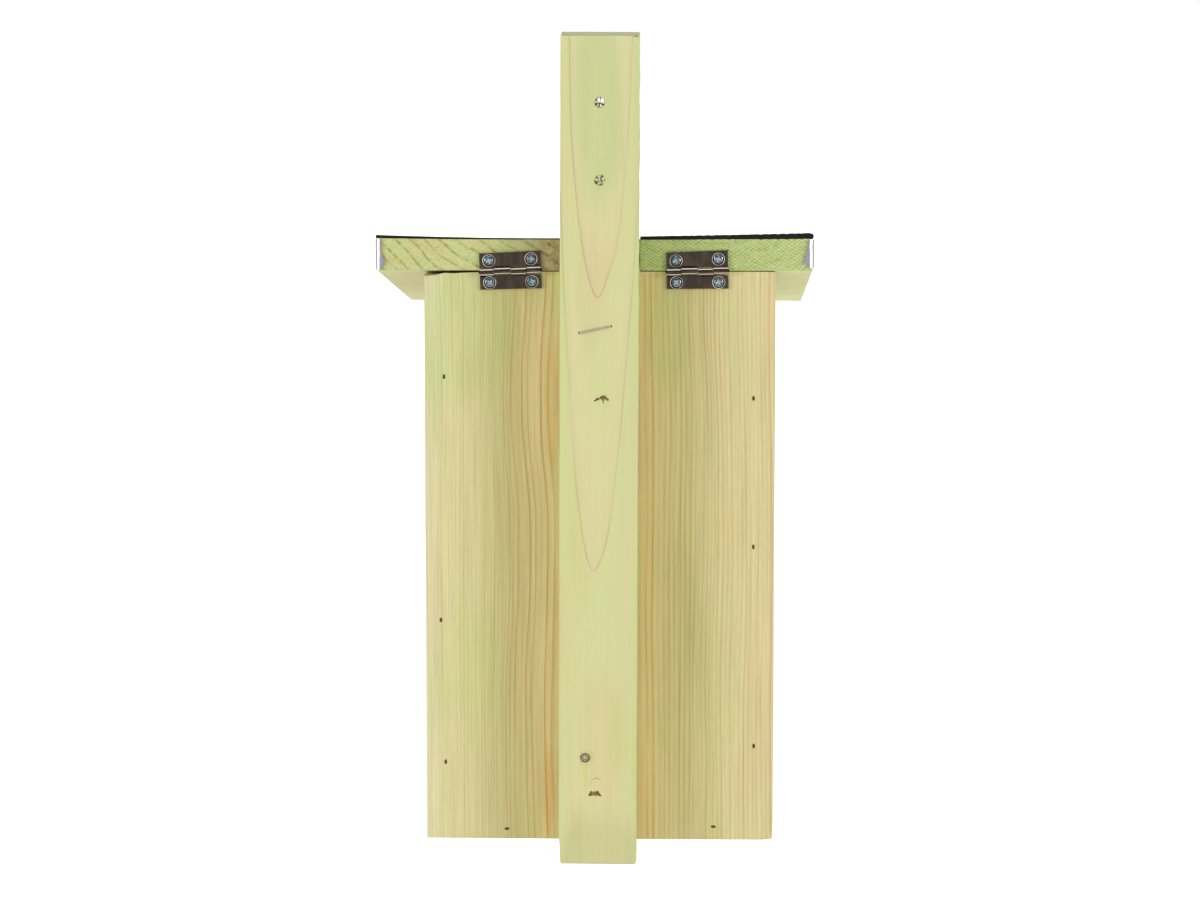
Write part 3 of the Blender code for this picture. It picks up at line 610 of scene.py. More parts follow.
def block(low, high, step, radius, wear=0.5, seed=0):
    """A closed block of quads. Its arrises are rounded by a radius that varies by the share called wear."""
    stations = [spread(a, b, step, radius * (1 + wear)) for a, b in zip(low, high)]
    last = [len(places) - 1 for places in stations]
    mesh, made = bmesh.new(), {}

    def vert(key):
        if key not in made:
            made[key] = mesh.verts.new([stations[axis][key[axis]] for axis in range(3)])
        return made[key]

    for axis in range(3):
        first, second = (axis + 1) % 3, (axis + 2) % 3
        for end in (0, last[axis]):
            for i in range(last[first]):
                for j in range(last[second]):
                    corners = []
                    for di, dj in ((0, 0), (1, 0), (1, 1), (0, 1)):
                        key = [end] * 3
                        key[first], key[second] = i + di, j + dj
                        corners.append(vert(tuple(key)))
                    mesh.faces.new(corners if end else corners[::-1])

    offset = Vector((seed * 0.37, seed * 0.11, seed * 0.53))
    for point in mesh.verts:
        rough = noise.noise(point.co * 350 + offset) + 0.5 * noise.noise(point.co * 1100 + offset)
        local = radius * (1 + wear * max(-1, min(1, rough)))
        core = Vector(max(a + local, min(b - local, c)) for a, b, c in zip(low, high, point.co))
        away = point.co - core
        if away.length > 1e-9:
            point.co = core + away.normalized() * local
    return mesh


def bend(mesh, shape):
    for point in mesh.verts:
        point.co = shape(point.co.copy())


def uneven(mesh, amount, scale, seed=0):
    """Slow waves in a board's faces, from drying."""
    mesh.normal_update()
    offset = Vector((seed * 1.3, seed * 0.7, seed * 0.9))
    moves = [point.normal * amount * noise.noise(point.co * scale + offset) for point in mesh.verts]
    for point, move in zip(mesh.verts, moves):
        point.co += move


def dent(mesh, centre, reach, push, seed):
    """Breaks an edge away: what lies within reach of the centre moves by push, raggedly. Both are in mm."""
    for point in mesh.verts:
        gap = (point.co - Vector(centre)).length / (reach * MM)
        if gap < 1:
            ragged = 1 + 0.6 * noise.noise(point.co * 900 + Vector((seed, 0, 0)))
            point.co += Vector(push) * MM * (1 - gap * gap) * ragged


def make_object(name, mesh, *materials, smooth=SHARP):
    data = bpy.data.meshes.new(name)
    mesh.normal_update()
    mesh.to_mesh(data)
    mesh.free()
    for material in materials:
        data.materials.append(material)
    shade(data, smooth)
    made = bpy.data.objects.new(name, data)
    bpy.context.scene.collection.objects.link(made)
    return made


def shade(data, smooth):
    data.shade_smooth()
    data.set_sharp_from_angle(angle=math.radians(smooth))


def cut(piece, cutters, smooth=SHARP, inside=0):
    """Takes the cutter meshes out of the piece for good. inside is the new faces' material slot."""
    tools = []
    for k, mesh in enumerate(cutters):
        bmesh.ops.recalc_face_normals(mesh, faces=mesh.faces)
        for face in mesh.faces:
            face.material_index = inside
        tool = make_object(f"{piece.name}_tool_{k}", mesh, *piece.data.materials, smooth=SHARP_WOOD)
        change = piece.modifiers.new(tool.name, "BOOLEAN")
        change.object = tool
        change.operation = "DIFFERENCE"
        tools.append(tool)
    graph = bpy.context.evaluated_depsgraph_get()
    data = bpy.data.meshes.new_from_object(piece.evaluated_get(graph))
    piece.modifiers.clear()
    piece.data = data
    shade(data, smooth)
    for tool in tools:
        bpy.data.objects.remove(tool)


def place_piece(piece, body, slot, *nodes):
    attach(piece, body)
    if nodes:
        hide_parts(*nodes)


def add_rings(mesh, rings, close=True):
    """Joins rings of points with quads. A ring of one point makes a tip."""
    made = [[mesh.verts.new(point) for point in ring] for ring in rings]
    for first, second in zip(made, made[1:]):
        count = max(len(first), len(second))
        for i in range(count):
            j = (i + 1) % count
            corners = [ring[k % len(ring)] for ring, k in ((first, i), (first, j), (second, j), (second, i))]
            mesh.faces.new(list(dict.fromkeys(corners)))
    if close:
        for ring in (made[0], made[-1]):
            if len(ring) > 2:
                mesh.faces.new(ring)
    return made


def solid(rings):
    """A closed mesh through rings of points."""
    mesh = bmesh.new()
    add_rings(mesh, rings)
    bmesh.ops.recalc_face_normals(mesh, faces=mesh.faces)
    return mesh


def turned(profile, place, segments, ragged=0.0, seed=0):
    """Turns a profile of (radius, height) in mm round the place's Z. A ragged one varies round its axis."""
    rings = []
    for radius, height in profile:
        ring = []
        for k in range(segments):
            angle = 2 * math.pi * k / segments
            spoke = Vector((math.cos(angle), math.sin(angle), 0))
            factor = 1 + ragged * noise.noise(spoke * 2.3 + Vector((seed, seed * 0.7, height * 0.3)))
            ring.append(place @ (spoke * radius * MM * factor + Vector((0, 0, height * MM))))
        rings.append(ring)
    return solid(rings)


def facing(point, direction, spin=0.0):
    turn = Vector(direction).to_track_quat("Z", "X").to_matrix().to_4x4()
    return Matrix.Translation(point) @ turn @ Matrix.Rotation(spin, 4, "Z")


def bend_object(piece, shape):
    for point in piece.data.vertices:
        point.co = shape(point.co)


# ---------------------------------------------------------------- batten

def lean(point):
    """The batten was nailed on a touch out of plumb."""
    return Matrix.Rotation(BATTEN_LEAN, 4, "Y") @ point


# Where the two long screws break out of the batten, as (x, z) outlines in mm, drawn clockwise from behind
BREAKOUTS = (
    ((3.5, -1.15), (2.9, -0.35), (2.2, 0.05), (1.5, 0.15), (0.6, 0.75), (-0.3, 1.2), (-1.0, 0.9), (-1.6, 0.2),
     (-2.3, -0.35), (-2.55, -1.0), (-2.0, -1.25), (-1.3, -0.75), (-0.8, -0.6), (-0.5, -1.2), (-0.3, -2.2),
     (0.1, -1.2), (0.6, -0.55), (1.4, -0.65), (2.2, -1.0), (2.9, -1.3)),
    ((2.6, -1.15), (1.9, 0.5), (1.4, 1.05), (0.8, 0.7), (-0.3, 0.75), (-1.1, 1.05), (-1.7, 0.6),
     (-2.7, -1.15), (-1.8, -1.0), (-0.8, -1.05), (0.6, -0.95), (1.6, -1.05)),
)
BREAKOUT_PLACES = (Vector((-1.5, 0, 20.6)) * MM, Vector((1.1, 0, -132.8)) * MM)
HOLE_HEIGHTS = (132.9 * MM, 103.5 * MM)
HOLE_RADIUS = 1.8
KNOT_PLACE = Vector((4.9, 0, -118.9)) * MM
KNOT_RADIUS = 1.85

# The torn fibres round each hole: (angle from +X towards +Z in degrees, length, width, lift), in mm
TORN_FIBRES = (
    ((5, 2.4, 0.9, -0.5), (35, 1.3, 0.8, 0.1), (75, 1.0, 0.7, 0.2), (100, 2.2, 0.5, -0.9),
     (190, 1.7, 0.8, -0.2), (215, 2.6, 0.9, -0.8), (245, 1.5, 0.8, 0.2), (280, 2.3, 0.8, -0.5),
     (305, 1.4, 0.7, 0.3), (335, 2.5, 1.0, -1.1)),
    ((15, 2.7, 1.0, -0.5), (45, 2.0, 0.9, -1.0), (80, 2.9, 0.9, -0.6), (120, 2.6, 1.0, -1.2),
     (150, 1.6, 0.8, 0.2), (185, 2.8, 1.0, -0.7), (220, 2.4, 0.9, -1.3), (250, 1.3, 0.8, 0.3),
     (285, 2.8, 1.0, -1.0), (330, 2.2, 0.9, -0.6)),
)


def splinters(mesh, centre, radius, shards):
    """Torn fibres that lie inwards from a circle, each (angle, length, width, lift) in degrees and mm."""
    for angle, *sizes in shards:
        length, width, lift = (size * MM for size in sizes)
        spoke = Vector((math.cos(math.radians(angle)), 0, math.sin(math.radians(angle))))
        side = Vector((-spoke.z, 0, spoke.x))
        root = Vector(centre) + spoke * radius
        rings = []
        for share in (0.0, 0.35, 0.7, 1.0):
            middle = root - spoke * length * share + Vector((0, lift * share * (1.6 - share), 0))
            half = side * width / 2 * (1 - share ** 2 * 0.85)
            deep = Vector((0, -width * 0.4 * (1 - share * 0.8), 0))
            rings.append([middle - half, middle + deep, middle + half, middle - deep * 0.4])
        add_rings(mesh, rings)
    bmesh.ops.recalc_face_normals(mesh, faces=mesh.faces)


def prism(outline, centre):
    """A cutter from an (x, z) outline in mm, narrower at its bottom and deepest at its far ends."""
    reach = max(abs(x) for x, z in outline)
    rings = []
    for share, level in ((0.75, -0.8), (1.0, -0.16), (1.04, 0.8)):
        ring = []
        for x, z in outline:
            depth = level if level > 0 else level * (0.4 + 0.6 * abs(x) / reach)
            ring.append(centre + Vector((x * share, depth, z * share)) * MM)
        rings.append(ring)
    return solid(rings)


def arc_groove(centre, radius, start, end, width, deep):
    """A cutter for a shallow curved crack."""
    rings, steps = [], 14
    for k in range(steps + 1):
        angle = math.radians(start + (end - start) * k / steps)
        spoke = Vector((math.cos(angle), 0, math.sin(angle)))
        thin = math.sin(math.pi * (k + 0.6) / (steps + 1.2))
        middle = centre + spoke * radius
        half = spoke * width / 2 * thin
        above = Vector((0, GAP, 0))
        rings.append([middle - half + above, middle - Vector((0, deep * thin, 0)), middle + half + above])
    return solid(rings)


def batten_mesh():
    mesh = block(BATTEN_LOW - Vector((0, 0, 0.7 * MM)), BATTEN_HIGH, 2.6 * MM, 0.5 * MM, 0.6, 1)

    def sawn(point):
        """Its -X edge is rough sawn, and its top was cut a little off square."""
        near = max(0.0, 1 - (point.x - BATTEN_LOW.x) / (1.5 * MM))
        upper = clamp((point.z + 0.02) / 0.08)
        bumps = noise.noise(Vector((0, point.y * 60, point.z * 190))) + 0.6 * noise.noise(point * 700)
        point.x += near * (0.10 + 0.22 * upper) * MM * bumps
        end = max(0.0, (point.z - BATTEN_HIGH.z + 12 * MM) / (12 * MM))
        point.z -= end * (0.5 * MM + (point.y + BOARD) / BOARD * 1.5 * MM)
        return point

    bend(mesh, sawn)
    uneven(mesh, 0.10 * MM, 22, 1)
    dent(mesh, (BATTEN_HIGH.x, 0, BATTEN_LOW.z), 9, (-0.6, -0.1, 0), 1)
    dent(mesh, (BATTEN_LOW.x, 0, BATTEN_LOW.z), 4, (0.15, -0.1, 0), 5)
    dent(mesh, (BATTEN_LOW.x, 0, BATTEN_HIGH.z - 2 * MM), 2.2, (0.5, -0.3, -0.5), 2)
    return mesh


def make_batten(woods):
    inner = woods["torn"], woods["bored"]
    piece = make_object("back_batten_wood", batten_mesh(), woods["batten"], *inner, smooth=SHARP_WOOD)
    pit = ((KNOT_RADIUS * 0.96, -2.2), (KNOT_RADIUS, 0.0), (KNOT_RADIUS * 1.08, 1.0))
    pits = [turned(pit, facing(KNOT_PLACE, OUTWARD), 26, 0.12, 8)]
    flap = BREAKOUT_PLACES[1] + Vector((-0.6, 0, 3.4)) * MM
    pits.append(arc_groove(flap, 2.5 * MM, -25, 205, 0.9 * MM, 0.2 * MM))
    for k, sign in enumerate((-1, 1)):
        end = centre_of("staple") + Vector((sign * 5.95, 0, -sign * 1.27)) * MM
        profile = ((0.2, -0.8), (0.42, -0.3), (0.58, 0.0), (0.66, 0.5))
        pits.append(turned(profile, facing((end.x, 0, end.z), OUTWARD), 14, 0.4, k))
    # The bores' walls take the bored wood, painted shade.
    bore = ((HOLE_RADIUS, -20), (HOLE_RADIUS, -0.7), (HOLE_RADIUS * 1.15, 0.0), (HOLE_RADIUS * 1.25, 4))
    bores = [turned(bore, facing((0, 0, z), OUTWARD), 22, 0.2, k) for k, z in enumerate(HOLE_HEIGHTS)]
    breaks = [prism(outline, centre) for centre, outline in zip(BREAKOUT_PLACES, BREAKOUTS)]
    for slot, cutters in enumerate((pits, breaks, bores)):
        cut(piece, cutters, SHARP_WOOD, slot)
    bend_object(piece, lean)
    place_piece(piece, "box", "batten_pine", "back_batten")

    # Half the torn fibres round each hole take the bored wood: painted shade on fibres that lie in the hole's
    # shadow.
    fibres, shade_painted_fibres = bmesh.new(), bmesh.new()
    for z, shards in zip(HOLE_HEIGHTS, TORN_FIBRES):
        for k, mesh in enumerate((fibres, shade_painted_fibres)):
            splinters(mesh, (0, -0.25 * MM, z), (HOLE_RADIUS + 0.35) * MM, shards[k::2])
    for k, (centre, outline) in enumerate(zip(BREAKOUT_PLACES, BREAKOUTS)):
        for n, (x, z) in enumerate(outline):
            angle = math.degrees(math.atan2(z, x)) + 12 * math.sin(3.3 * n)
            root = centre + Vector((0, -0.15 * MM, 0))
            shard = (angle, 0.42 + 0.25 * math.sin(2.7 * n + k), 0.45, 0.25 * math.sin(1.9 * n + k))
            splinters(fibres, root, (math.hypot(x, z) + 0.2) * MM, [shard])

    plug = ((0.2, -2.1), (KNOT_RADIUS * 0.90, -2.0), (KNOT_RADIUS * 0.95, -0.25), (KNOT_RADIUS * 0.84, -0.08),
            (KNOT_RADIUS * 0.5, -0.02), (KNOT_RADIUS * 0.36, -0.12), (0.1, -0.1))
    knot = turned(plug, facing(KNOT_PLACE, OUTWARD), 26, 0.1, 8)
    extras = (("splinters", fibres, "batten"), ("dirty_splinters", shade_painted_fibres, "bored"), ("knot", knot, "knot"))
    for name, mesh, wood in extras:
        piece = make_object(f"back_batten_{name}", mesh, woods[wood], smooth=SHARP_WOOD)
        bend_object(piece, lean)
        place_piece(piece, "box", "batten_pine")


# ---------------------------------------------------------------- brads

# How deep below the wood's face a brad's head lies, in mm
BRAD_SUNK = 0.6


def brad_frame(node):
    """Where a brad's head is, its size, its axes (two across it, then its own), and the way that it faces."""
    low, high = size_of(node)
    size = high - low
    own = max(range(3), key=lambda axis: size[axis])
    outward = 1 if node.startswith(("back", "right")) else -1
    head = (low + high) / 2
    head[own] = (high if outward > 0 else low)[own]
    return head, size, [axis for axis in range(3) if axis != own] + [own], outward


def moved(start, axes, distances):
    """A point at these distances from the start, one along each of the axes."""
    point = start.copy()
    for axis, distance in zip(axes, distances):
        point[axis] += distance
    return point


def brad_tool(node, seed):
    """A cutter for the narrow, slightly torn slot over a sunk brad."""
    head, size, axes, outward = brad_frame(node)
    rings = []
    for grow, depth in ((0.8, -1.2), (0.85, -0.5), (0.98, 0.25), (1.05, 2.0)):
        ring = []
        for s in range(12):
            angle = 2 * math.pi * (s + 0.5) / 12
            ragged = 0.12 * MM * noise.noise(Vector((s * 1.7, seed * 2.1, depth)))
            squarish = [math.copysign(abs(v) ** 0.55, v) for v in (math.cos(angle), math.sin(angle))]
            across = [v * size[axis] / 2 * grow for v, axis in zip(squarish, axes)]
            rise = outward * (BRAD_SUNK + depth) * MM
            ring.append(moved(head, axes, (across[0] + ragged, across[1] - ragged, rise)))
        rings.append(ring)
    return solid(rings)


def make_brads(metal):
    """T-headed brads: a flat head, long one way, on a thin chisel-pointed shank."""
    for node in BRADS:
        head, size, (first, second, own), outward = brad_frame(node)
        axes = (first, second, own) if size[first] > size[second] else (second, first, own)
        rings = []
        for long_half, short_half, depth in ((0.2, 0.3, -25), (0.55, 0.45, -24), (0.55, 0.45, -0.6),
                                             (0.95, 0.52, -0.5), (0.98, 0.56, -0.1), (0.85, 0.45, 0.0)):
            rings.append([moved(head, axes, (s * long_half * MM, t * short_half * MM, outward * depth * MM))
                          for s, t in ((1, 1), (-1, 1), (-1, -1), (1, -1))])
        place_piece(make_object(f"{node}_steel", solid(rings), metal, smooth=30), "box", "brad_steel", node)


# ---------------------------------------------------------------- walls

def planed_low(point):
    """The back panel's top falls away from the roof towards its +X corner."""
    share = clamp((point.x - 40 * MM) / (12 * MM)) * max(0.0, 1 - (PANEL_HIGH.z - point.z) / (10 * MM))
    point.z -= 0.85 * MM * share * (0.75 + 0.35 * noise.noise(Vector((point.x * 260, 0.0, 4.0))))
    return point


def entrance_tool():
    """The bird's hole, with its edges eased by sandpaper."""
    low, high = size_of("front_panel")
    opening = frame["record"]["physics"]["openings"][0]["box_m"]
    centre = ((opening[0][0] + opening[1][0]) / 2, low.y, (opening[0][2] + opening[1][2]) / 2)
    radius, ease, depth = 16.0, 0.8, (high.y - low.y) / MM
    profile = [(radius + ease, 3.0), (radius + ease, 0.0)]
    profile += [(radius + ease * (1 - math.sin(turn)), -ease * (1 - math.cos(turn))) for turn in ROUNDING]
    profile += [(radius, -depth + ease), (radius + ease * 0.4, -depth), (radius + ease * 0.4, -depth - 3)]
    return turned(profile, facing(centre, (0, -1, 0)), 96, 0.004, 5)


def drain_tools():
    """Four holes in the floor that let rain out."""
    low, high = size_of("floor_panel")
    middle, off = (low + high) / 2, 38 * MM
    tools = []
    for sx in (-1, 1):
        for sy in (-1, 1):
            centre = (middle.x + sx * off, middle.y + sy * off, low.z)
            tools.append(turned(((3, -5), (3, 20)), facing(centre, (0, 0, 1)), 28, 0.05, sx))
    return tools


def make_walls(woods):
    names = ("back_panel", "front_panel", "side_panel_left", "side_panel_right", "floor_panel")
    for k, name in enumerate(names):
        low, high = size_of(name)
        if name == "back_panel":
            low -= Vector((0, 0, 0.5 * MM))
        mesh = block(low, high, 4.5 * MM if name == "floor_panel" else 3.5 * MM, 0.45 * MM, 0.6, k + 3)
        uneven(mesh, 0.10 * MM, 18, k)
        if name == "floor_panel":
            tools = drain_tools()
        else:
            for point in mesh.verts:
                share = (point.co.z - low.z) / (high.z - low.z)
                point.co.z = low.z + share * (wall_top(point.co.y) - low.z)
            side = name.removesuffix("_panel").removeprefix("side_panel_")
            nodes = [node for node in BRADS if node.startswith(side)]
            tools = [brad_tool(node, seed) for seed, node in enumerate(nodes)]
        if name == "front_panel":
            tools.append(entrance_tool())
        if name == "back_panel":
            bend(mesh, planed_low)
            dent(mesh, (high.x - 2.5 * MM, high.y, high.z), 4, (0, -0.8, -1.4), 3)
            dent(mesh, (low.x, high.y, low.z + 2 * MM), 3, (0.8, -0.6, 0.5), 4)
        piece = make_object(f"{name}_wood", mesh, woods[name], smooth=SHARP_WOOD)
        cut(piece, tools, SHARP_WOOD)
        place_piece(piece, "box", "panel_pine", name)


# ---------------------------------------------------------------- roof

def roof_shape(point):
    """Turns (x, along, up) into a place on the roof, which is cupped a little and plumb at its rear."""
    x, along, up = point
    along -= max(0.0, 1 - along / (8 * MM)) * up * math.tan(SLOPE)
    out = (x - ROOF_MIDDLE) / ROOF_HALF
    return on_roof(x, along, up + 0.45 * MM * (out ** 2 - 0.5) * up / BOARD)


def notch_tool(deep, below):
    """A cutter for the notch that leaves room for the batten."""
    low = (BATTEN_LOW.x - NOTCH_LEEWAY + NOTCH_OFFSET, ROOF_REAR.y - deep, ROOF_REAR.z - below)
    high = (BATTEN_HIGH.x + NOTCH_LEEWAY + NOTCH_OFFSET, ROOF_REAR.y + 20 * MM, ROOF_REAR.z + 40 * MM)
    return block(low, high, 4 * MM, 0.3 * MM, 0.3, 2)


def make_roof(woods):
    inset, seam, corner = 0.4 * MM, 0.1 * MM, 0.8 * MM
    for side, outer, inner, seed in (("left", ROOF_MIDDLE - ROOF_HALF + inset, -seam, 11),
                                     ("right", ROOF_MIDDLE + ROOF_HALF - inset, seam, 12)):
        low_x, high_x = sorted((outer, inner))
        mesh = block((low_x, 0, 0), (high_x, ROOF_LENGTH, BOARD), 3.2 * MM, 0.35 * MM, 0.7, seed)
        for point in mesh.verts:
            near = corner - abs(point.co.x - outer)
            point.co.y = max(near, min(ROOF_LENGTH - near, point.co.y))
        uneven(mesh, 0.10 * MM, 25, 4)
        bend(mesh, roof_shape)
        node = f"roof_board_{side}"
        piece = make_object(f"{node}_wood", mesh, woods[node], smooth=SHARP_WOOD)
        cut(piece, [notch_tool(BOARD, 20 * MM)], SHARP_WOOD)
        place_piece(piece, "roof", "roof_pine", node)


def make_felt(material):
    """Thin where it was pulled tight, thick and rolled at its -X edge, with a ragged lower edge."""
    length = (ROOF_REAR.y - FELT_LOW.y) / math.cos(SLOPE) - BOARD * math.tan(SLOPE)
    mesh = block((FELT_LOW.x, 0, 0), (FELT_HIGH.x, length, 1.0 * MM), 1.1 * MM, 0.3 * MM, 0.5, 21)

    def laid(point):
        x, along, up = point
        out = (x - ROOF_MIDDLE) / ROOF_HALF
        thick = 0.5 + 0.5 * clamp(-out * 6 + 0.5) + 1.25 * max(0.0, -out) + 1.5 * max(0.0, out - 0.4) ** 1.5
        rolled = min(1.0, (x - FELT_LOW.x) / (1.1 * MM))
        up = 0.5 * MM + (up - 0.5 * MM) * math.sqrt(max(0.04, rolled * (2 - rolled)))
        teeth = 0.35 * math.sin(2 * math.pi * x / (1.7 * MM))
        ragged = 0.40 * MM * clamp(0.2 - out) * (noise.noise(Vector((x * 620, along * 60, 3.0))) + teeth)
        lower = BOARD + 0.02 * MM + min(0.0, ragged) * max(0.0, 1 - along / (2 * MM))
        wavy = 0.10 * noise.noise(Vector((x * 60, along * 60, 1.0)))
        return roof_shape((x, along + ragged * max(0.0, 1 - along / (3 * MM)), lower + up * (thick + wavy)))

    bend(mesh, laid)
    piece = make_object("roofing_felt_sheet", mesh, material, smooth=50)
    cut(piece, [notch_tool(BOARD + GAP, 0.0)], 50)
    place_piece(piece, "roof", "roofing_felt", "roofing_felt")


# ---------------------------------------------------------------- metalwork

def sheet(rows, thickness):
    """A closed sheet from a grid of middle points, thickened both ways along its normals."""
    mesh = bmesh.new()
    grid = [[Vector(point) for point in row] for row in rows]
    tall, wide = len(grid), len(grid[0])
    sides = []
    for sign in (1, -1):
        layer = []
        for i, row in enumerate(grid):
            line = []
            for j, point in enumerate(row):
                along = grid[min(i + 1, tall - 1)][j] - grid[max(i - 1, 0)][j]
                across = row[min(j + 1, wide - 1)] - row[max(j - 1, 0)]
                line.append(mesh.verts.new(point + along.cross(across).normalized() * sign * thickness / 2))
            layer.append(line)
        sides.append(layer)
    for layer in sides:
        for i in range(tall - 1):
            for j in range(wide - 1):
                mesh.faces.new([layer[i][j], layer[i + 1][j], layer[i + 1][j + 1], layer[i][j + 1]])
    rim = [(i, 0) for i in range(tall)] + [(tall - 1, j) for j in range(1, wide)]
    rim += [(i, wide - 1) for i in range(tall - 2, -1, -1)] + [(0, j) for j in range(wide - 2, 0, -1)]
    for (i, j), (k, m) in zip(rim, rim[1:] + rim[:1]):
        mesh.faces.new([sides[0][i][j], sides[1][i][j], sides[1][k][m], sides[0][k][m]])
    bmesh.ops.recalc_face_normals(mesh, faces=mesh.faces)
    return mesh


def level_at(stops, share):
    """Reads a height between (share, height) stops."""
    for (low, first), (high, last) in zip(stops, stops[1:]):
        if share <= high:
            return first + (last - first) * max(0.0, share - low) / (high - low)
    return stops[-1][1]


# How far each strip's end turns over the boards' ends, in mm, from the underside (0) to the felt (1)
TABS = {"left": ((0.0, 0.1), (0.10, 0.1), (0.15, 2.2), (0.55, 0.8), (0.74, 0.1), (1.0, 0.1)),
        "right": ((0.0, 0.1), (0.05, 0.1), (0.10, 1.1), (0.18, 1.6), (0.30, 1.5), (0.50, 0.5), (0.68, 0.1),
                  (1.0, 0.1))}


def make_trim(side, sign, foot, material):
    """A folded strip: a flange on the roof's side, from its foot up, that ends in hand-cut tabs."""
    edge = ROOF_MIDDLE + sign * ROOF_HALF
    radius, thick, proud, levels, stations = 1.9 * MM, 0.35 * MM, 0.45 * MM, 44, 26
    bends = [math.pi / 2 * k / 6 for k in range(7)]
    rows = []
    for n in range(levels + 1):
        share = n / levels
        up = foot + (BOARD - GAP - foot) * share
        tab = level_at(TABS[side], share) * MM
        ripple = 0.10 * MM * noise.noise(Vector((0, up * 400, sign)))
        path = [(radius + tab * (1 - k / 4), -proud) for k in range(4)]
        path += [(radius * (1 - math.sin(angle)) + ripple, radius * (1 - math.cos(angle)) - proud)
                 for angle in bends]
        path += [(ripple, radius + (ROOF_LENGTH - 2 * radius) * k / stations) for k in range(1, stations)]
        path += [(radius * (1 - math.cos(angle)), ROOF_LENGTH - radius * (1 - math.sin(angle)) + proud)
                 for angle in bends]
        path += [(radius + tab * k / 4, ROOF_LENGTH + proud) for k in range(1, 5)]
        rows.append([roof_shape((edge - sign * inward, along, up)) for inward, along in path])
    piece = make_object(f"edge_trim_{side}_sheet", sheet(rows, thick), material)
    place_piece(piece, "roof", "aluminium_strip", f"edge_trim_{side}")


# Each leaf: its reach from the pin in mm, and its tilt in degrees; they were bent a little when screwed on
LEAVES = {"left": {"roof_leaf": (7.7, 2.4), "fixed_leaf": (6.8, 0.6)},
          "right": {"roof_leaf": (7.3, 2.8), "fixed_leaf": (7.0, 1.5)}}
PIN_TILTS = {"left": 1.2, "right": 2.2}
KNUCKLE_ENDS = [k * MM for k in (-11.8, -6.2, -0.2, 6.2, 11.8)]
LEAF_HALF = 11.8 * MM
SCREW_ACROSS, SCREW_REACH = 8.1 * MM, 4.3 * MM
ROLL = 1.05 * MM
LEAF_THICKNESS = 0.7 * MM
LEAF_BACK = -(ROLL + LEAF_THICKNESS / 2)


def leaf_rolls(sign, own):
    """The parts of a leaf's end that are rolled round the pin, about the pin's middle."""
    gap, lip, step = 0.3 * MM, 0.12 * MM, sign * 0.14 * MM
    turns = [math.radians(300) * turn / 28 for turn in range(29)]
    path = [(1.9 * MM, -ROLL), (0.8 * MM, -ROLL)]
    path += [(-ROLL * math.sin(angle), -ROLL * math.cos(angle)) for angle in turns]
    mesh = bmesh.new()
    for k in own:
        low, high = KNUCKLE_ENDS[k] + gap / 2, KNUCKLE_ENDS[k + 1] - gap / 2
        across = [low, low + lip] + [low + (high - low) * t / 4 for t in (1, 2, 3)] + [high - lip, high]
        part = sheet([[(x, y, sign * z + step) for z, y in path] for x in across], LEAF_THICKNESS)
        made = bpy.data.meshes.new("roll")
        part.to_mesh(made)
        part.free()
        mesh.from_mesh(made)
        bpy.data.meshes.remove(made)
    return mesh


def add_burr(mesh, place, radius, wire):
    """The raised lip that pressing leaves round a screw's hole, in the piece's second material, a bright
    nickel that paints the lip's highlight.
    """
    spokes, sides = 40, 8
    angles = [2 * math.pi * s / sides for s in range(sides)]
    section = [(radius + wire * math.cos(angle), wire * math.sin(angle)) for angle in angles]
    rings = []
    for k in range(spokes):
        spoke = Matrix.Rotation(2 * math.pi * k / spokes, 3, "Z") @ Vector((1, 0, 0))
        rings.append([place @ (spoke * out + Vector((0, 0, up))) for out, up in section])
    before = set(mesh.faces)
    made = add_rings(mesh, rings + rings[:1], close=False)
    for face in set(mesh.faces) - before:
        face.material_index = 1
    bmesh.ops.remove_doubles(mesh, verts=made[0] + made[-1], dist=GAP / 1000)
    bmesh.ops.recalc_face_normals(mesh, faces=mesh.faces)


def make_leaf(side, leaf, move, metals):
    """A stamped leaf with its screws: a plate on the wood, and rolls round the pin."""
    sign, own, body = (-1, (3, 1), "box") if leaf == "fixed_leaf" else (1, (2, 0), "roof")
    reach, tilt = LEAVES[side][leaf]
    skew = math.tan(math.radians(tilt - PIN_TILTS[side]))
    name = f"hinge_{side}_{leaf}"

    def skewed(point):
        return Vector((point.x, point.y, sign * point.z - skew * point.x))

    plate = block((-LEAF_HALF, LEAF_BACK + 0.02 * MM, 1.65 * MM),
                  (LEAF_HALF, LEAF_BACK + LEAF_THICKNESS, reach * MM), 3 * MM, 0.12 * MM, 0.2, 2)
    bend(plate, skewed)
    bmesh.ops.transform(plate, matrix=move, verts=plate.verts)
    bmesh.ops.recalc_face_normals(plate, faces=plate.faces)
    piece = make_object(f"{name}_plate", plate, metals["nickel"])
    holes = [Vector((x, LEAF_BACK + LEAF_THICKNESS, SCREW_REACH)) for x in (-SCREW_ACROSS, SCREW_ACROSS)]
    middles = [move @ skewed(hole) for hole in holes]
    countersink = ((1.75, -1.5), (1.75, -0.65), (2.4, 0.02), (2.5, 1.0))
    cut(piece, [turned(countersink, facing(middle, OUTWARD), 48) for middle in middles])
    place_piece(piece, body, "nickel_hinge", name)

    rolls = leaf_rolls(sign, own)
    bmesh.ops.transform(rolls, matrix=move, verts=rolls.verts)
    for middle in middles:
        add_burr(rolls, facing(middle, OUTWARD), 2.35 * MM, 0.2 * MM)
    place_piece(make_object(f"{name}_rolls", rolls, metals["nickel"], metals["rubbed"]), body, "nickel_hinge")
    for k, middle in enumerate(middles, 1):
        make_hinge_screw(f"{name.removesuffix('_leaf')}_screw_{k}", metals, middle, body, k + sign)


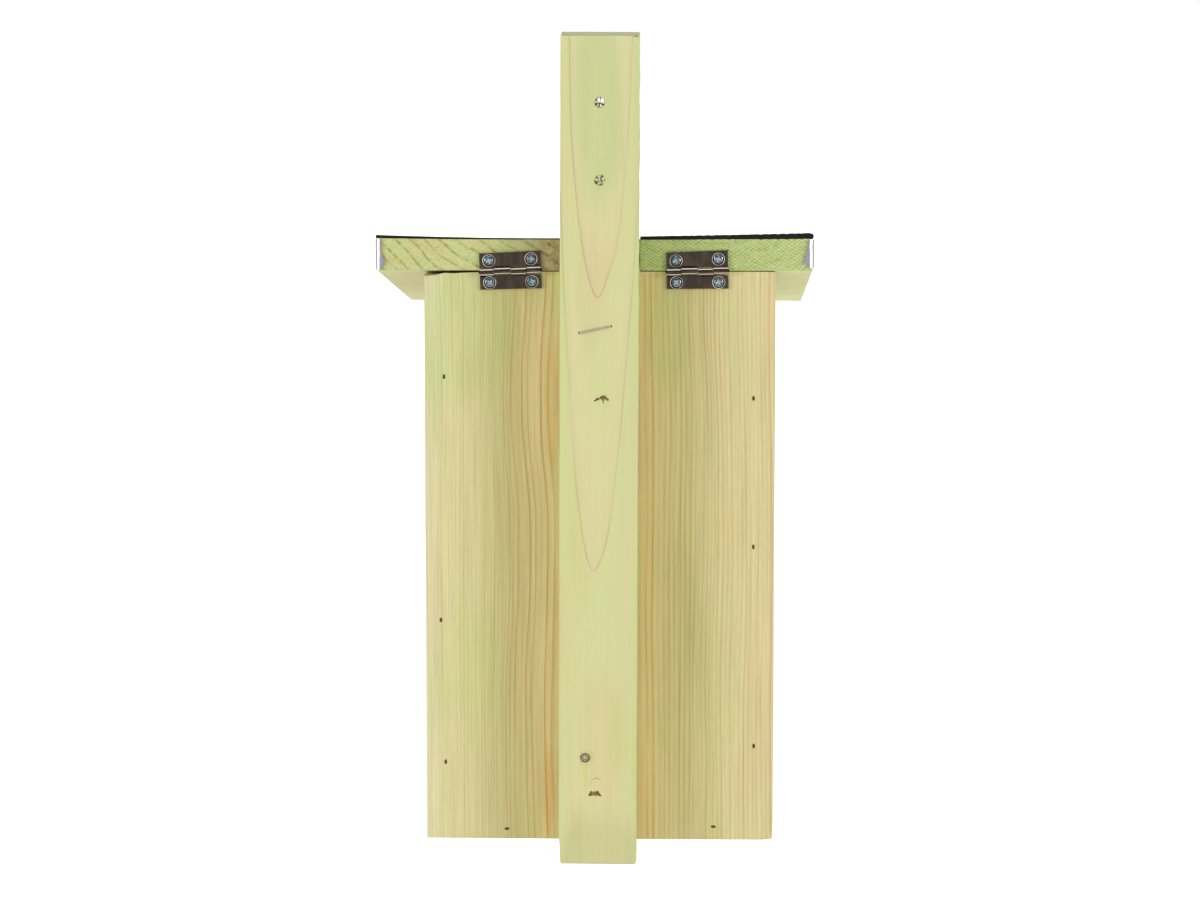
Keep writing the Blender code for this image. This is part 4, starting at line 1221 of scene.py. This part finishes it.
def make_hinges(metals):
    half_pin = ((0.6, 11.8), (0.72, 11.95), (0.55, 12.1), (0.2, 12.2))
    profile = [(radius, -height) for radius, height in reversed(half_pin)] + list(half_pin)
    for side, tilt in PIN_TILTS.items():
        turn = Matrix.Rotation(math.radians(tilt), 4, "Y")
        move = Matrix.Translation(centre_of(f"hinge_{side}_pin")) @ turn
        for leaf in ("fixed_leaf", "roof_leaf"):
            make_leaf(side, leaf, move, metals)
        pin = turned(profile, move @ facing((0, 0, 0), (1, 0, 0)), 20)
        piece = make_object(f"hinge_{side}_pin_rod", pin, metals["nickel"])
        place_piece(piece, "box", "nickel_hinge", f"hinge_{side}_pin")


def cross_tool(place, width, depth):
    """A cutter for a cross recess, wide at the top and narrow below. Its sizes are in mm."""
    rings = []
    for share, level in ((1.25, 0.5), (1.0, 0.0), (0.4, -depth)):
        half, arm = width / 2 * share, width / 2 * 0.30 * (0.4 + 0.6 * share)
        ring = []
        for k in range(4):
            for corner in ((half, -arm), (half, arm), (arm * 1.2, arm * 1.2)):
                flat = Matrix.Rotation(k * math.pi / 2, 2) @ Vector(corner)
                ring.append(place @ (Vector((flat.x, flat.y, level)) * MM))
        rings.append(ring)
    return solid(rings)


def make_hinge_screw(node, metals, middle, body, turn):
    """A cross-head wood screw: a raised countersunk head and a shank."""
    low, high = size_of(node)
    length, head, dome = (high.y - low.y) / MM, 1.7, 0.28
    spin = math.radians(17 + 31 * turn)
    profile = [(0.15, -length + 0.4), (1.0, -length + 3), (1.2, -head), (head * 0.97, -0.12), (head, 0.0)]
    angles = [math.pi / 2 * k / 6.5 for k in range(1, 7)]
    profile += [(head * math.cos(angle), dome * math.sin(angle)) for angle in angles]
    mesh = turned(profile, facing(middle, OUTWARD, spin), 40)
    piece = make_object(f"{node}_steel", mesh, metals["zinc"], metals["recess"])
    top = facing(middle + Vector((0, dome * 0.7 * MM, 0)), OUTWARD, spin)
    cut(piece, [cross_tool(top, head * 1.3, 0.6)], inside=1)
    place_piece(piece, body, "zinc_screw", node)


def make_batten_screws(metal):
    """Two long screws from inside the box, whose points break out of the batten."""
    pitch, turns = 1.3, 12
    for k in (1, 2):
        node = f"batten_screw_{k}"
        low, high = size_of(node)
        middle = (low + high) / 2
        place = facing((middle.x, low.y + 0.3 * MM, middle.z), (0, -1, 0))
        length, head = (high.y - low.y) / MM - 0.3, (high.x - low.x) / 2 / MM
        profile = [(0.1, -length), (0.75, -length + 2.4)]
        for t in range(turns):
            foot = -length + 2.4 + pitch * t
            profile += [(1.45, foot + pitch * 0.35), (1.05, foot + pitch * 0.7)]
        profile += [(1.2, -head), (head * 0.97, -0.12), (head, 0.0), (head * 0.8, 0.22), (0.3, 0.3)]
        piece = make_object(f"{node}_steel", turned(profile, place, 36), metal)
        cut(piece, [cross_tool(place @ Matrix.Translation((0, 0, 0.25 * MM)), head * 1.2, 1.6)])
        place_piece(piece, "box", "zinc_screw", node)


def make_staple(metal):
    """A bent flat wire. Its crown bows a little out of the wood."""
    centre, tilt = centre_of("staple"), math.radians(12)
    along = Vector((-math.cos(tilt), 0, math.sin(tilt)))
    side = Vector((math.sin(tilt), 0, math.cos(tilt)))
    half, leg, corner = 6.1 * MM, 7.5 * MM, 0.7 * MM
    path = [(-half, -leg), (-half, -corner)]
    path += [(-half + corner * (1 - math.cos(turn)), -corner + corner * math.sin(turn)) for turn in ROUNDING]
    back = [(-a, b) for a, b in reversed(path)]
    path += [(half * t, 0.12 * MM * (1 - t * t)) for t in (-0.6, -0.2, 0.2, 0.6)] + back
    rings = []
    for k, (a, b) in enumerate(path):
        before, after = Vector(path[max(k - 1, 0)]), Vector(path[min(k + 1, len(path) - 1)])
        run = (after - before).normalized()
        ring = []
        for s in range(10):
            angle = 2 * math.pi * s / 10
            flat = Vector((a, b)) + Vector((-run.y, run.x)) * (0.28 * MM * math.sin(angle))
            across = side * (0.55 * MM * math.cos(angle))
            ring.append(Vector((centre.x, 0.05 * MM + flat.y, centre.z)) + along * flat.x + across)
        rings.append(ring)
    piece = make_object("staple_wire", solid(rings), metal)
    bend_object(piece, lean)
    place_piece(piece, "box", "staple_steel", "staple")


# The felt nails' places down the slope, in metres, and how high the felt lifts them off the boards, in mm
CLOUT_ALONG = (0.020, 0.083, 0.146)
CLOUT_LIFTS = {"left": 2.25, "right": 1.5}

# Outlines of (radius, height) in mm, from the point to the middle of the head
CLOUT_NAIL = ((0.2, -10.5), (0.8, -9.0), (0.8, 0.0), (3.2, 0.02), (3.45, 0.15), (3.45, 0.45), (3.1, 0.68),
              (2.0, 0.86), (0.6, 0.92))
TRIM_NAIL = ((0.1, -10.0), (0.6, -9.0), (0.6, 0.0), (1.4, 0.02), (1.5, 0.15), (1.35, 0.42), (0.8, 0.6),
             (0.3, 0.66))


def make_nails(metal):
    """Round-headed nails: six in the felt and four in the edge trim."""
    up = (0, -math.sin(SLOPE), math.cos(SLOPE))
    nails = []
    for side, sign in (("left", -1), ("right", 1)):
        for k, along in enumerate(CLOUT_ALONG):
            node = f"clout_nail_{side}_{k + 1}"
            base = on_roof(centre_of(node).x, along, BOARD + CLOUT_LIFTS[side] * MM)
            nails.append((node, turned(CLOUT_NAIL, facing(base, up), 36, 0.03, k + sign)))
        for k in range(2):
            node = f"trim_nail_{side}_{k + 1}"
            base = centre_of(node)
            base.x = size_of(node)[0 if sign < 0 else 1].x - sign * 0.75 * MM
            nails.append((node, turned(TRIM_NAIL, facing(base, (sign, 0, 0)), 28, 0.03, k)))
    for node, mesh in nails:
        place_piece(make_object(f"{node}_steel", mesh, metal), "roof", "galvanised_nail", node)


# ---------------------------------------------------------------- stage

def make_floor():
    floor_below, half, count = 0.30, 40.0, 40
    floor_z = cad_box[0][2] - floor_below
    mesh = bmesh.new()
    places = [half * (2 * i / count - 1) for i in range(count + 1)]
    rows = [[mesh.verts.new((x, y, floor_z)) for y in places] for x in places]
    for row, beside in zip(rows, rows[1:]):
        for j in range(count):
            mesh.faces.new([row[j], beside[j], beside[j + 1], row[j + 1]])
    make_object("studio_floor", mesh, plain_floor(), smooth=SHARP_WOOD)


def make_lights():
    """A white studio, brighter to the camera than to the object, with four broad soft lamps."""
    scene = bpy.context.scene
    scene.view_settings.view_transform = "Standard"
    scene.world = bpy.data.worlds.new("white_studio")
    scene.world.use_nodes = True
    nodes, links = scene.world.node_tree.nodes, scene.world.node_tree.links
    backdrop = nodes["Background"].inputs
    backdrop["Color"].default_value = (1.0, 1.0, 1.0, 1.0)
    strength = nodes.new("ShaderNodeMapRange")
    strength.inputs["To Min"].default_value = 0.62
    strength.inputs["To Max"].default_value = 1.02
    links.new(nodes.new("ShaderNodeLightPath").outputs["Is Camera Ray"], strength.inputs["Value"])
    links.new(strength.outputs["Result"], backdrop["Strength"])
    for name, azimuth, elevation, power, softness in (
            ("high_light", 90, 86, 2.0, 50), ("left_light", 154, 12, 1.5, 12),
            ("right_light", 26, 12, 1.5, 12), ("front_light", -70, 35, 0.6, 40)):
        lamp = bpy.data.lights.new(name, "SUN")
        lamp.energy = power
        lamp.angle = math.radians(softness)
        made = bpy.data.objects.new(name, lamp)
        turn, rise = math.radians(azimuth), math.radians(elevation)
        toward = Vector((math.cos(turn) * math.cos(rise), math.sin(turn) * math.cos(rise), math.sin(rise)))
        made.matrix_world = facing(toward * 2, toward)
        scene.collection.objects.link(made)


def make_camera():
    """From behind and a little above, with a long lens, as the object is usually shown."""
    lens = bpy.data.cameras.new("camera")
    lens.lens = 109.3
    lens.sensor_width = 36.0
    camera = bpy.data.objects.new("camera", lens)
    camera.location = (-0.0406, 1.383, 0.1556)
    yaw, pitch = math.radians(1.66), math.radians(-6.39)
    camera.rotation_euler = (math.pi / 2 + pitch, 0, math.pi + yaw)
    bpy.context.scene.collection.objects.link(camera)
    bpy.context.scene.camera = camera


def main():
    woods, metals = make_woods(), make_metals()
    make_batten(woods)
    make_walls(woods)
    make_roof(woods)
    make_felt(roofing_felt())
    make_trim("left", -1, 1.2 * MM, metals["aluminium"])
    make_trim("right", 1, 0.3 * MM, metals["aluminium"])
    make_hinges(metals)
    make_batten_screws(metals["zinc"])
    make_brads(metals["steel"])
    make_staple(metals["staple"])
    make_nails(metals["galvanised"])
    make_floor()
    make_lights()
    make_camera()


main()
